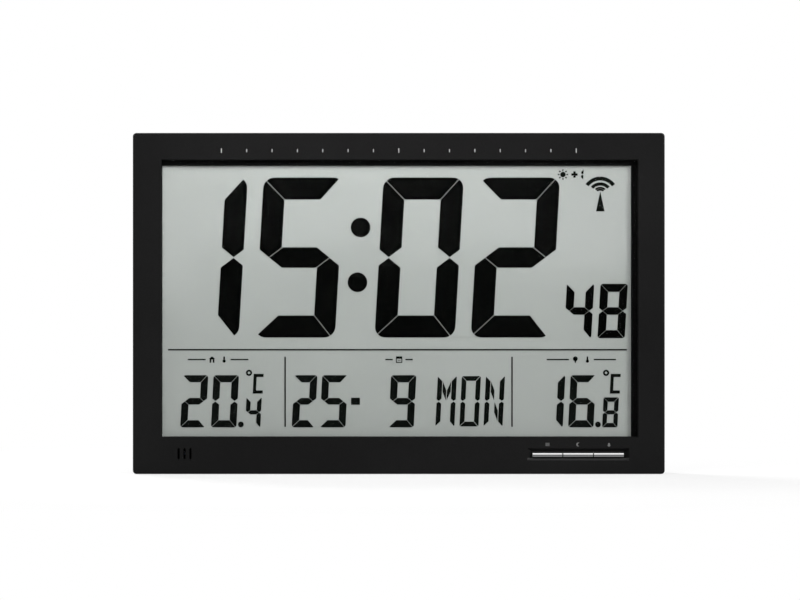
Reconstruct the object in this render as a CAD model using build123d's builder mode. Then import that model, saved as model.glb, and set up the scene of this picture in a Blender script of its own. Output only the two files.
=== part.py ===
"""Jumbo radio-controlled clock with a reflective liquid crystal display.

Millimetres. X runs to the right seen from the front, Y to the rear and Z up. The origin is the
middle of the underside of the case. A depth is counted from the front face towards the rear.
"""

from build123d import *
from math import cos, degrees, pi, radians, sin, sqrt
import os

# Clearances that all pieces share
push_fit = 0.15  # round a piece that is pushed or dropped into another
running_fit = 0.06  # radial, round a pin that turns or slides
free_gap = 0.3  # round a piece that moves
overrun = 1.0  # how far a cutting shape runs past the surface that it cuts

# Case shells
case_width = 368.0
case_height = 236.0
case_depth = 30.0
front_depth = 16.0
side_wall = 2.4
rear_wall = 2.2
bezel_plate = 3.0
corner_radius = 2.5
front_edge_radius = 1.4
rear_edge_radius = 2.0
seam_chamfer = 0.4
tongue_thickness = 1.4
tongue_height = 2.5

# Case screws, their bosses in the bezel and their wells in the rear cover
screw_side_inset = 8.0
screw_top_inset = 7.8
screw_bottom_inset = 8.6
low_screw_offset = 66.0
screw_radius = 1.5
screw_head_radius = 2.75
screw_head_height = 2.0
screw_bite = 9.0
screw_drive_width = 0.8
screw_drive_depth = 0.9
boss_radius = 3.4
well_radius = 3.2
well_wall = 1.2
well_floor = 2.4

# Display opening and the layers behind it
frame_left = 19.8
frame_right = 18.55
frame_top = 18.75
frame_bottom = 25.7
opening_chamfer = 0.4
display_lap = 3.0
window_thickness = 1.5
gasket_thickness = 1.0
gasket_top_reveal = 3.7
gasket_right_reveal = 4.6
gasket_left_reveal = 0.4
gasket_bottom_reveal = 0.2
front_glass_thickness = 1.1
segment_thickness = 0.2
rear_glass_thickness = 1.1
reflector_thickness = 0.3
contact_ledge = 4.2
seal_width = 2.0

# Figures of the display
time_slant_share = 0.057
data_slant_share = 0.0495
tip_share = 0.44
tip_slope_share = 0.78
left_mitre_angle = 43.0
right_mitre_angle = 56.4
middle_bar_share = 0.93
quarter_turn = 90.0
time_figure_count = 4
time_bar = 15.25
time_gap = 0.56
time_corner = 7.6
time_figure_gap = 11.02
time_colon_space = 27.42
time_left_gap = 0.3
time_right_space = 52.18
time_top_gap = 8.24
time_low_gap = 8.01
colon_radius = 6.82
colon_half_span = 19.0
colon_lift = 1.84
colon_left_shift = 0.25
data_figure_width = 17.6
data_figure_height = 36.15
data_bar = 4.9
data_gap = 0.4
data_corner = 1.9
data_rise = 24.5
data_pitch = 21.3
seconds_inset = 17.15
seconds_pitch = 23.3
seconds_figure_width = 18.93
seconds_figure_height = 37.7
seconds_bar = 5.6
seconds_gap = 0.3
seconds_drop = 0.48
indoor_inset = 22.4
outdoor_inset = 38.35
date_place_shares = (0.0858, 0.2147, 0.5169)
date_width_shares = (0.1017, 0.1138, 0.1113)
date_bar_share = 0.0315
dash_place_share = 0.3102
dash_width_share = 0.0394
dash_height = 4.9
tenths_width = 10.6
tenths_height = 20.75
tenths_bar = 3.05
tenths_gap = 0.3
tenths_corner = 1.1
tenths_step = 19.7
point_step = 11.0
point_radius = 2.0
degree_step = 16.65
degree_rise = 19.7
degree_radius = 2.15
degree_stroke = 1.3
unit_step = 23.0
unit_rise = 12.15
unit_width = 6.9
unit_height = 13.65
unit_stroke = 2.2
weekday_place_shares = (0.7095, 0.8156, 0.9218)
weekday_width_share = 0.0839
weekday_bar_share = 0.25
weekday_height = 34.9
weekday_gap = 0.5
weekday_corner = 1.2
weekday_slash = 7.0

# Rules, headings and icons of the display
rule_width = 1.0
rule_inset = 4.2
rule_right_inset = 7.25
rule_rise = 60.2
divider_width = 1.0
divider_low_inset = 6.8
divider_high_inset = 55.3
divider_left_inset = 85.4
divider_right_inset = 86.95
heading_rise = 53.4
heading_height = 4.4
heading_bar = 0.9
icon_wall_share = 0.75
icon_detail_share = 0.25
icon_trunk_share = 0.2
icon_bulb_share = 0.5
icon_stem_share = 0.875
heading_icon_step = 4.2
indoor_heading_inset = 17.9
indoor_heading_width = 42.0
date_heading_share = 0.5022
date_heading_width = 19.0
outdoor_heading_inset = 38.85
outdoor_heading_width = 48.0
mast_inset = 25.75
mast_top_inset = 21.5
mast_height = 13.9
mast_width = 6.0
wave_drop = 2.45
wave_radii = (4.2, 5.55, 8.7, 12.7)
wave_strokes = (1.25, 1.2, 2.3, 2.7)
wave_angles = (78.0, 84.0, 98.0, 108.0)
sun_inset = 51.65
sun_top_inset = 9.85
sun_radius = 1.9
ray_length = 1.2
ray_width = 0.9
ray_gap = 0.5
ray_count = 8
hour_sign_step = 8.0
hour_figure_step = 14.2
hour_figure_width = 5.4
hour_figure_height = 7.0
hour_bar = 1.6
hour_gap = 0.25
hour_corner = 0.4
hour_sign_span = 4.4

# Frame that clamps the display, and the boards on it
rim_wall = 1.6
frame_plate = 2.0
ear_height_shares = (0.25, 0.5, 0.75)
ear_half_height = 5.0
ear_end = 3.6
standoff_height = 1.2
standoff_radius = 2.8
board_thickness = 1.6
main_board_width = 208.0
main_board_height = 72.0
main_board_top_lap = 1.75
board_screw_side = 8.0
board_screw_low = 8.0
board_screw_high = 17.0
small_screw_radius = 1.2
small_screw_head_radius = 2.3
small_screw_head_height = 1.4
small_screw_bite = 3.6
zebra_inset = 4.0
zebra_thickness = 2.6
chip_radius = 7.0
chip_height = 1.6
chip_crown = 0.9
chip_inset = 64.0
chip_rise = 26.0
crystal_length = 11.0
crystal_width = 4.6
crystal_height = 3.4
crystal_offset = 12.0
crystal_rise = 14.0
capacitor_radius = 3.2
capacitor_height = 7.6
capacitor_bead = 0.6
capacitor_left_insets = (38.0, 48.0)
capacitor_right_inset = 42.0
capacitor_rise = 22.0
switch_side = 6.0
switch_height = 3.4
switch_bore_spare = 0.7
plunger_entry = 0.7

# Keys below the display
key_count = 3
key_row_right_inset = 59.9
key_rise = 13.3
key_pitch = 21.25
key_gap = 0.7
key_height = 3.2
key_crest_depth = 0.8
key_shoulder_depth = 1.9
key_toe_depth = 1.1
key_ridge_radius = 0.2
key_flange_height = 5.8
key_flange_thickness = 1.2
key_travel = 0.8
key_pocket_lift = 0.35
key_pocket_width = 70.7
key_pocket_height = 8.6
key_pocket_depth = 3.2
key_pocket_floor_width = 64.9
key_pocket_floor_height = 4.9
key_block_depth = 5.2
key_block_margin = 1.5
key_block_height = 18.0
plunger_radius = 1.7
key_board_width = 88.0
key_board_height = 13.6
key_post_radius = 2.6
key_post_side = 4.0
ribbon_width = 8.0
ribbon_thickness = 0.6
ribbon_stand_off = 2.5
ribbon_side = 16.0
ribbon_bend = 1.0
ribbon_land = 4.0

# Indoor sensor behind its slots
slot_count = 3
slot_pitch = 4.1
slot_width = 1.6
slot_height = 7.7
slot_left_inset = 35.8
slot_rise = 14.1
sensor_board_width = 26.0
sensor_board_height = 12.0
sensor_board_depth = 9.4
sensor_post_side = 3.5
peg_post_radius = 2.0
peg_radius = 1.0
peg_length = 2.3
bead_radius = 1.5
bead_depth = 6.4
bead_leg_radius = 0.3
bead_leg_step = 0.8

# Time receiver with its ferrite antenna
receiver_width = 28.0
receiver_height = 20.0
receiver_gap = 4.5
receiver_depth = 22.4
receiver_chip_side = 9.0
receiver_chip_height = 1.5
peg_side = 3.5
ferrite_radius = 5.0
ferrite_length = 104.0
ferrite_drop = 26.0
ferrite_depth = 20.2
coil_length = 56.0
coil_wall = 1.4
holder_width = 5.0
holder_inset = 8.0
holder_height = 15.0

# Receiver for the outdoor sensor
module_width = 30.0
module_height = 30.0
module_side_inset = 57.0
module_drop = 71.0
can_width = 16.0
can_height = 18.0
can_depth = 3.0
can_side = 4.0
coil_antenna_radius = 2.6
coil_antenna_wire = 0.4
coil_antenna_pitch = 1.5
coil_antenna_turns = 5
coil_antenna_side = 4.8
coil_antenna_low = 6.0

# Buzzer
buzzer_side_inset = 64.0
buzzer_rise = 70.0
buzzer_radius = 13.5
buzzer_height = 6.0
buzzer_wall = 1.2
buzzer_seat = 1.6
buzzer_seat_rise = 1.4
piezo_thickness = 0.5
grille_radius = 0.9
grille_ring_radii = (4.0, 8.0)
grille_ring_counts = (6, 12)

# Battery tub, cells and contacts
cell_count = 4
cell_radius = 7.1
cell_length = 49.2
cell_edge = 0.8
nub_radius = 2.7
nub_height = 1.2
cell_pitch = 15.4
cell_floor_gap = 0.2
tub_left_inset = 34.0
tub_rise = 38.0
tub_wall = 1.6
tub_floor = 1.4
tub_floor_depth = 12.5
contact_thickness = 0.4
contact_side = 11.0
spring_length = 6.5
spring_radius = 3.6
spring_wire = 0.4
spring_turns = 4
spring_seat = 0.03
lead_count = 3
lead_radius = 0.8
lead_bend = 3.0
lead_depth = 19.8
lead_end_inset = 18.0
lead_first_run = 4.4
lead_spacing = 3.2
lead_first_rise = 14.0
lead_rise_step = 6.0
sensor_lead_side = 1.1

# Battery door
door_margin = 2.0
door_thickness = 2.0
door_bead_radius = 1.3
door_pin_radius = 0.7
door_pin_length = 1.5
door_pad_margin = 3.0
door_pad_thickness = 2.4
door_tab_width = 14.0
door_tab_height = 4.0
door_tab_thickness = 1.4
door_finger_room = 3.0
door_finger_floor = 0.4
foam_thickness = 0.7
foam_side_margin = 5.0
foam_end_margin = 9.0

# Folding stand
stand_width = 110.0
stand_thickness = 4.2
stand_sink = 0.6
stand_axis_rise = 112.0
stand_foot_rise = 2.7
stand_side_gap = 0.5
stand_pin_radius = 1.0
stand_pin_grip = 4.0
stand_lug = 5.0
stand_lug_half_height = 4.5
stand_floor_gap = 0.6
stand_floor_wall = 1.8
stand_panel_width = 42.0
stand_panel_height = 72.0
stand_panel_pitch = 50.0
stand_panel_rise = 60.0
stand_panel_radius = 5.0
stand_panel_depth = 1.2
stand_notch_radius = 10.0
foot_pad_width = 22.0
foot_pad_offset = 38.0
foot_pad_height = 1.5
foot_pad_inset = 0.4

# Keyholes for hanging
keyhole_spacing = 180.0
keyhole_drop = 36.0
keyhole_entry_radius = 4.5
keyhole_slot_width = 4.5
keyhole_slot_length = 8.0
keyhole_pocket_half_width = 7.0
keyhole_pocket_below = 7.0
keyhole_pocket_above = 14.0
keyhole_pocket_depth = 6.0
keyhole_pocket_wall = 1.6

# Reset button
reset_side_inset = 26.0
reset_rise = 15.0
reset_radius = 1.5
reset_sink = 0.8
reset_flange_radius = 2.8
reset_flange_thickness = 1.2

# Depths of the layers, from the front face
half_width = case_width / 2
gasket_depth = bezel_plate + window_thickness
front_glass_depth = gasket_depth + gasket_thickness
segment_depth = front_glass_depth + front_glass_thickness
rear_glass_depth = segment_depth + segment_thickness
reflector_depth = rear_glass_depth + rear_glass_thickness
lcd_frame_depth = reflector_depth + reflector_thickness
lcd_frame_back = lcd_frame_depth + frame_plate
board_depth = lcd_frame_back + standoff_height
board_back = board_depth + board_thickness
rear_wall_depth = case_depth - rear_wall
receiver_back = receiver_depth + board_thickness
cell_depth = tub_floor_depth + cell_floor_gap + cell_radius
door_depth = case_depth - door_thickness
door_axis_depth = case_depth - door_bead_radius
stand_back = case_depth - stand_sink
stand_front = stand_back - stand_thickness
stand_axis_depth = stand_back - stand_thickness / 2
stand_floor = stand_front - stand_floor_gap
key_flange_back = key_block_depth + key_flange_thickness
switch_front = board_depth - switch_height
switch_bore_depth = plunger_entry + key_travel + switch_bore_spare

# Sides of the display opening, of the clear view inside the gasket and of the glass
open_left = frame_left - half_width
open_right = half_width - frame_right
open_low = frame_bottom
open_high = case_height - frame_top
view_left = open_left + gasket_left_reveal
view_right = open_right - gasket_right_reveal
view_low = open_low + gasket_bottom_reveal
view_high = open_high - gasket_top_reveal
glass_left = open_left - display_lap
glass_right = open_right + display_lap
glass_low = open_low - display_lap
glass_high = open_high + display_lap
rear_glass_high = glass_high - contact_ledge
rim_left = glass_left - push_fit - rim_wall
rim_right = glass_right + push_fit + rim_wall

# Places of the time figures, from the clear view and the rule below them
rule_middle = open_low + rule_rise
time_high = view_high - time_top_gap
time_low = rule_middle + rule_width / 2 + time_low_gap
time_middle = (time_high + time_low) / 2
time_figure_height = time_high - time_low
time_spaces = time_left_gap + 2 * time_figure_gap + time_colon_space + time_right_space
time_figure_width = (view_right - view_left - time_spaces) / time_figure_count
time_pitch = time_figure_width + time_figure_gap

# Places and sizes of the date, between the two dividers
date_left = open_left + divider_left_inset
date_right = open_right - divider_right_inset
date_span = date_right - date_left
date_bar = date_span * date_bar_share
weekday_width = date_span * weekday_width_share
weekday_bar = weekday_width * weekday_bar_share

# Places that several pieces share
ferrite_rise = case_height - ferrite_drop
receiver_rise = ferrite_rise - holder_height / 2 - receiver_gap - receiver_height / 2
module_rise = case_height - module_drop
keyhole_rise = case_height - keyhole_drop
holder_offset = ferrite_length / 2 - holder_inset
corner_offset = half_width - screw_side_inset
top_screw_rise = case_height - screw_top_inset
case_screw_places = [(x, top_screw_rise) for x in (-corner_offset, 0, corner_offset)]
case_screw_places += [
    (x, screw_bottom_inset)
    for x in (-corner_offset, -low_screw_offset, low_screw_offset, corner_offset)
]
ear_places = [
    (side * corner_offset, share * case_height)
    for side in (-1, 1)
    for share in ear_height_shares
]
main_board_high = glass_high + main_board_top_lap
main_board_low = main_board_high - main_board_height
board_screw_places = [
    (side * (main_board_width / 2 - board_screw_side), z)
    for side in (-1, 1)
    for z in (main_board_low + board_screw_low, main_board_high - board_screw_high)
]
key_row = half_width - key_row_right_inset
key_places = [
    (key_row + (number - (key_count - 1) / 2) * key_pitch, key_rise)
    for number in range(key_count)
]
key_width = key_pitch - key_gap
key_slot_width = (key_count - 1) * key_pitch + key_width + 2 * free_gap
key_slot_height = key_height + 2 * free_gap
key_post_places = [
    (key_row + side * (key_board_width / 2 - key_post_side), key_rise) for side in (-1, 1)
]
slot_row = slot_left_inset - half_width
sensor_post_places = [
    (slot_row + side * (sensor_board_width / 2 - sensor_post_side), slot_rise)
    for side in (-1, 1)
]
receiver_peg_places = [
    (side * (receiver_width / 2 - peg_side), receiver_rise) for side in (-1, 1)
]
module_place = half_width - module_side_inset
module_peg_places = [
    (module_place + side * (module_width / 2 - peg_side), module_rise + side * (module_height / 2 - peg_side))
    for side in (-1, 1)
]
tub_left = tub_left_inset - half_width
tub_right = tub_left + 2 * contact_thickness + nub_height + cell_length + spring_length
tub_low = tub_rise
tub_high = tub_low + cell_count * cell_pitch
cell_rises = [tub_low + (number + 1 / 2) * cell_pitch for number in range(cell_count)]
door_left = tub_left - door_margin
door_right = tub_right + door_margin
door_low = tub_low - door_margin
door_high = tub_high + door_margin
door_middle = (door_left + door_right) / 2
door_axis_rise = door_high - door_bead_radius
reset_place = (main_board_width / 2 - reset_side_inset, main_board_low + reset_rise)
buzzer_place = (half_width - buzzer_side_inset, buzzer_rise)
keyhole_places = [(side * keyhole_spacing / 2, keyhole_rise) for side in (-1, 1)]
stand_recess_half = stand_width / 2 + stand_side_gap
stand_recess_high = stand_axis_rise + stand_thickness / 2 + free_gap
stand_pin_half = stand_recess_half + stand_pin_grip


def at_depth(depth):
    """A drawing plane parallel to the front face and this far behind it: x is X and y is Z."""
    return Plane.XZ.offset(case_depth / 2 - depth)


def across(x):
    """A drawing plane square to X: x is Y and y is Z."""
    return Plane.YZ.offset(x)


def y_at(depth):
    """The Y of a depth behind the front face."""
    return depth - case_depth / 2


def sides_box(left, right, low, high, mode=Mode.ADD):
    """A rectangle in the current sketch, given by its four sides."""
    with Locations(((left + right) / 2, (low + high) / 2)):
        Rectangle(right - left, high - low, mode=mode)


def case_outline(inset=0, mode=Mode.ADD):
    """The outline of the case in the current sketch, drawn in by this much."""
    sides_box(inset - half_width, half_width - inset, inset, case_height - inset, mode)


def block(left, right, low, high, front, back, mode=Mode.ADD):
    """A block in the current part, between four sides and two depths."""
    with BuildSketch(at_depth(front)) as outline:
        sides_box(left, right, low, high)
    extrude(outline.sketch, amount=front - back, mode=mode)


def discs(places, radius, front, back, mode=Mode.ADD):
    """Round bosses or bores along the depth in the current part, one at each place."""
    with BuildSketch(at_depth(front)) as outline:
        with Locations(*places):
            Circle(radius)
    extrude(outline.sketch, amount=front - back, mode=mode)


def cross_rod(left, right, depth, rise, radius, mode=Mode.ADD):
    """A round bar or bore along X in the current part."""
    with BuildSketch(across(left)) as outline:
        with Locations((y_at(depth), rise)):
            Circle(radius)
    extrude(outline.sketch, amount=right - left, mode=mode)


def finish(piece, name):
    """Labels a finished piece and writes it."""
    piece.part.label = name
    export_step(piece.part, f"parts/{name}.step")


def pan_screws(places, head_front, bite, shank_radius, head_radius, head_height):
    """Pan-head screws driven from the rear, their heads seated at one depth."""
    with BuildPart() as screws:
        discs(places, shank_radius, head_front - bite, head_front)
        discs(places, head_radius, head_front, head_front + head_height)
        drive_front = head_front + head_height - screw_drive_depth
        for length, width in ((1, 0), (0, 1)):
            with BuildSketch(at_depth(drive_front)) as drive:
                with Locations(*places):
                    Rectangle(
                        screw_drive_width + length * head_radius,
                        screw_drive_width + width * head_radius,
                    )
            extrude(drive.sketch, amount=-screw_drive_depth, mode=Mode.SUBTRACT)
    return screws


def closed(points):
    """The straight sides of a closed run of points."""
    return list(zip(points, points[1:] + points[:1]))


def flipped(sides, across_sign, up_sign):
    """An outline mirrored left to right, top to bottom or both."""
    return [tuple((across_sign * x, up_sign * z) for x, z in side) for side in sides]


def figure_segments(width, height, bar, gap, corner):
    """The seven segments of an upright figure about its centre, each a closed run of sides."""
    half_across = width / 2
    half_up = height / 2
    tip = half_across - tip_share * bar
    split = degrees(gap / 2 / sqrt(2) / corner)

    def on_corner(angle):
        x = half_across - corner + corner * cos(radians(angle))
        z = half_up - corner + corner * sin(radians(angle))
        return (x, z)

    inner_top = (half_across - bar, half_up - bar - gap / 2)
    inner_low = (half_across - bar, gap / 2 + tip_slope_share * (1 - tip_share) * bar)
    outer_low = (half_across, gap / 2 + tip_slope_share * tip_share * bar)
    low_tip = (tip, gap / 2)
    under = (half_across - bar - gap / 2, half_up - bar)

    def side_bar(mitre):
        start = mitre - split
        return [
            (inner_top, on_corner(start)),
            (on_corner(start), on_corner(start / 2), on_corner(0)),
            (on_corner(0), outer_low),
            (outer_low, low_tip),
            (low_tip, inner_low),
            (inner_low, inner_top),
        ]

    def top_end(mitre):
        start = mitre + split
        half_way = (start + quarter_turn) / 2
        return [
            (under, on_corner(start)),
            (on_corner(start), on_corner(half_way), on_corner(quarter_turn)),
        ]

    right_bar = side_bar(right_mitre_angle)
    left_bar = flipped(side_bar(left_mitre_angle), -1, 1)
    right_end = top_end(right_mitre_angle)
    left_end = [side[::-1] for side in flipped(top_end(left_mitre_angle), -1, 1)][::-1]
    top = right_end + [(right_end[-1][-1], left_end[0][0])] + left_end + [(left_end[-1][-1], under)]
    half_middle = middle_bar_share * bar / 2
    middle_tip = tip - gap / 2
    middle_end = middle_tip - half_middle / tip_slope_share
    middle_right = [(middle_end, half_middle), (middle_tip, 0), (middle_end, -half_middle)]
    middle = closed(middle_right + [(-x, z) for x, z in middle_right[::-1]])
    return {
        "a": top,
        "b": right_bar,
        "c": flipped(right_bar, 1, -1),
        "d": flipped(top, 1, -1),
        "e": flipped(left_bar, 1, -1),
        "f": left_bar,
        "g": middle,
    }


lit_segments = {
    "0": "abcdef",
    "1": "bc",
    "2": "abged",
    "4": "fgbc",
    "5": "afgcd",
    "6": "afgedc",
    "8": "abcdefg",
    "9": "abcdfg",
}


def draw_outline(sides, centre, slant=data_slant_share):
    """Fills one display segment in the current sketch, leaned over and set about its centre."""
    with BuildLine() as outline:
        for side in sides:
            points = [(centre[0] + x + slant * z, centre[1] + z) for x, z in side]
            if points[1:-1]:
                ThreePointArc(*points)
            else:
                Line(*points)
    make_face(outline.edges())


def draw_figure(figure, centre, sizes, slant=data_slant_share):
    """Draws the lit segments of one figure in the current sketch."""
    segments = figure_segments(*sizes)
    for name in lit_segments[figure]:
        draw_outline(segments[name], centre, slant)


def draw_letter(strokes, centre):
    """Draws one letter of the weekday from its bars and its slanting strokes."""
    bars = figure_segments(weekday_width, weekday_height, weekday_bar, weekday_gap, weekday_corner)
    inner_across = weekday_width / 2 - weekday_bar - weekday_gap
    inner_up = weekday_height / 2 - weekday_bar - weekday_gap
    left_slash = closed(
        [
            (-inner_across, inner_up),
            (-inner_across, inner_up - weekday_slash),
            (-weekday_gap / 2, weekday_gap),
            (-weekday_gap / 2, weekday_gap + weekday_slash),
        ]
    )
    slashes = {"h": left_slash, "j": flipped(left_slash, -1, 1), "m": flipped(left_slash, -1, -1)}
    for stroke in strokes:
        draw_outline((bars | slashes)[stroke], centre)


def draw_unit(start, middle):
    """Draws the degree ring and the letter beside a temperature."""
    with Locations((start + degree_step, middle + degree_rise)):
        Circle(degree_radius)
        Circle(degree_radius - degree_stroke, mode=Mode.SUBTRACT)
    right = unit_width / 2
    top = unit_height / 2
    inner = top - unit_stroke
    points = [(right, top), (-right, top), (-right, -top), (right, -top)]
    points += [(right, -inner), (unit_stroke - right, -inner), (unit_stroke - right, inner), (right, inner)]
    draw_outline(closed(points), (start + unit_step, middle + unit_rise))


def draw_temperature(figures, start):
    """Draws a temperature with tenths, from the middle of its first figure."""
    sizes = (data_figure_width, data_figure_height, data_bar, data_gap, data_corner)
    small = (tenths_width, tenths_height, tenths_bar, tenths_gap, tenths_corner)
    middle = open_low + data_rise
    base = middle - data_figure_height / 2
    for number in range(2):
        draw_figure(figures[number], (start + number * data_pitch, middle), sizes)
    units = start + data_pitch
    with Locations((units + point_step, base + point_radius)):
        Circle(point_radius)
    draw_figure(figures[2], (units + tenths_step, base + tenths_height / 2), small)
    draw_unit(units, middle)


def draw_house(centre):
    """Draws a house with its door."""
    x, z = centre
    half = heading_height / 2
    wall = half * icon_wall_share
    detail = half * icon_detail_share
    points = [(x - half, z + detail), (x, z + half), (x + half, z + detail), (x + wall, z + detail)]
    points += [(x + wall, z - half), (x - wall, z - half), (x - wall, z + detail)]
    with BuildLine() as outline:
        Polyline(*points, close=True)
    make_face(outline.edges())
    sides_box(x - detail, x + detail, z - half, z, mode=Mode.SUBTRACT)


def draw_tree(centre):
    """Draws a round tree on its trunk."""
    x, z = centre
    half = heading_height / 2
    trunk = half * icon_trunk_share
    with Locations((x, z + half * icon_detail_share)):
        Circle(half * icon_wall_share)
    sides_box(x - trunk, x + trunk, z - half, z)


def draw_thermometer(centre):
    """Draws a thermometer with its bulb."""
    x, z = centre
    half = heading_height / 2
    stem = heading_height * icon_stem_share
    bulb = half * icon_bulb_share
    with Locations((x, z + half - stem / 2)):
        SlotOverall(stem, bulb, rotation=quarter_turn)
    with Locations((x, z + bulb - half)):
        Circle(bulb)


def draw_calendar(centre):
    """Draws a calendar leaf with a row of days."""
    x, z = centre
    half = heading_height / 2
    wall = half * icon_wall_share
    detail = half * icon_detail_share
    sides_box(x - half, x + half, z - half, z + half)
    sides_box(x - wall, x + wall, z - wall, z + detail, mode=Mode.SUBTRACT)
    with Locations((x, z - detail)):
        with GridLocations(2 * detail, 2 * detail, 2, 1):
            Rectangle(detail, detail)


def draw_flanks(middle, width, room, rise):
    """Draws the two short bars on either side of a heading icon."""
    for side in (-1, 1):
        inner = middle + side * room
        outer = middle + side * width / 2
        sides_box(min(inner, outer), max(inner, outer), rise - heading_bar / 2, rise + heading_bar / 2)


def biarc_coil(start, axis, spoke, radius, pitch, turns):
    """A coil path as tangent arcs, two to a quarter turn, from its start along its axis."""
    start, axis, spoke = Vector(*start), Vector(*axis), Vector(*spoke)
    other = axis.cross(spoke)
    quarters = 4
    quarter = 2 * pi / quarters
    climb = pitch / (2 * pi)

    def place(angle):
        return start + spoke * (radius * cos(angle)) + other * (radius * sin(angle)) + axis * (climb * angle)

    def heading(angle):
        return (spoke * (-radius * sin(angle)) + other * (radius * cos(angle)) + axis * climb).normalized()

    for number in range(quarters * turns):
        first, last = number * quarter, (number + 1) * quarter
        chord = place(last) - place(first)
        both = heading(first) + heading(last)
        bend = 2 * (1 - heading(first).dot(heading(last)))
        reach = (sqrt(chord.dot(both) ** 2 + bend * chord.dot(chord)) - chord.dot(both)) / bend
        near = place(first) + heading(first) * reach
        far = place(last) - heading(last) * reach
        joint = (near + far) * (1 / 2)
        TangentArc(place(first), joint, tangent=heading(first))
        TangentArc(joint, place(last), tangent=(far - near).normalized())


def lead(points, name):
    """An insulated wire along straight runs and bends, its ends square to what they meet."""
    with BuildPart() as wire:
        with BuildLine() as route:
            FilletPolyline(*[(x, y_at(depth), z) for x, depth, z in points], radius=lead_bend)
        with BuildSketch(Plane(route.line @ 0, z_dir=route.line % 0)) as section:
            Circle(lead_radius)
        sweep(section.sketch, path=route.line)
    finish(wire, name)


os.makedirs("parts", exist_ok=True)

# Front shell: plate, walls, display opening, key recess, sensor slots and bosses
with BuildPart() as front_bezel:
    with BuildSketch(at_depth(0)) as shell_outline:
        case_outline()
        fillet(shell_outline.vertices(), corner_radius)
    extrude(amount=-front_depth)
    fillet(front_bezel.faces().sort_by(Axis.Y)[0].edges(), front_edge_radius)
    chamfer(front_bezel.faces().sort_by(Axis.Y)[-1].edges(), seam_chamfer)
    with BuildSketch(at_depth(bezel_plate)):
        case_outline(side_wall)
    extrude(amount=bezel_plate - front_depth, mode=Mode.SUBTRACT)
    block(open_left, open_right, open_low, open_high, 0, bezel_plate, Mode.SUBTRACT)
    opening_rim = front_bezel.faces().sort_by(Axis.Y)[0].inner_wires()[0]
    chamfer(opening_rim.edges(), opening_chamfer)
    block_half = key_pocket_width / 2 + key_block_margin
    block(
        key_row - block_half, key_row + block_half, side_wall, side_wall + key_block_height,
        bezel_plate, key_block_depth,
    )
    with BuildSketch(at_depth(0)):
        with Locations((key_row, key_rise + key_pocket_lift)):
            Rectangle(key_pocket_width, key_pocket_height)
    with BuildSketch(at_depth(key_pocket_depth)):
        with Locations((key_row, key_rise + key_pocket_lift)):
            Rectangle(key_pocket_floor_width, key_pocket_floor_height)
    loft(mode=Mode.SUBTRACT)
    with BuildSketch(at_depth(0)):
        with Locations((key_row, key_rise)):
            Rectangle(key_slot_width, key_slot_height)
    extrude(amount=-key_block_depth, mode=Mode.SUBTRACT)
    with BuildSketch(at_depth(0)):
        with Locations((slot_row, slot_rise)):
            with GridLocations(slot_pitch, slot_pitch, slot_count, 1):
                SlotOverall(slot_height, slot_width, rotation=quarter_turn)
    extrude(amount=-bezel_plate, mode=Mode.SUBTRACT)
    discs(case_screw_places, boss_radius, bezel_plate, front_depth)
    discs(ear_places, boss_radius, bezel_plate, lcd_frame_depth)
    discs(key_post_places, key_post_radius, bezel_plate, board_depth)
    discs(sensor_post_places, peg_post_radius, bezel_plate, sensor_board_depth)
    peg_end = sensor_board_depth + peg_length
    discs(sensor_post_places, peg_radius, sensor_board_depth, peg_end)
    pilot = screw_radius + running_fit
    screw_tip = front_depth + well_floor - screw_bite - overrun
    discs(case_screw_places, pilot, screw_tip, front_depth, Mode.SUBTRACT)
    small_pilot = small_screw_radius + running_fit
    discs(ear_places, small_pilot, bezel_plate, lcd_frame_depth, Mode.SUBTRACT)
    key_pilot_front = board_back - small_screw_bite - overrun
    discs(key_post_places, small_pilot, key_pilot_front, board_depth, Mode.SUBTRACT)
finish(front_bezel, "front_bezel")

# Window, gasket and the layers of the display
with BuildPart() as display_window:
    block(glass_left, glass_right, glass_low, glass_high, bezel_plate, gasket_depth)
finish(display_window, "display_window")

with BuildPart() as display_gasket:
    block(glass_left, glass_right, glass_low, glass_high, gasket_depth, front_glass_depth)
    block(view_left, view_right, view_low, view_high, gasket_depth, front_glass_depth, Mode.SUBTRACT)
finish(display_gasket, "display_gasket")

with BuildPart() as lcd_front_glass:
    block(glass_left, glass_right, glass_low, glass_high, front_glass_depth, segment_depth)
finish(lcd_front_glass, "lcd_front_glass")

with BuildPart() as lcd_edge_seal:
    block(glass_left, glass_right, glass_low, rear_glass_high, segment_depth, rear_glass_depth)
    block(
        glass_left + seal_width, glass_right - seal_width, glass_low + seal_width,
        rear_glass_high - seal_width, segment_depth, rear_glass_depth, Mode.SUBTRACT,
    )
finish(lcd_edge_seal, "lcd_edge_seal")

with BuildPart() as lcd_rear_glass:
    block(glass_left, glass_right, glass_low, rear_glass_high, rear_glass_depth, reflector_depth)
finish(lcd_rear_glass, "lcd_rear_glass")

with BuildPart() as lcd_reflector:
    block(glass_left, glass_right, glass_low, rear_glass_high, reflector_depth, lcd_frame_depth)
finish(lcd_reflector, "lcd_reflector")

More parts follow.
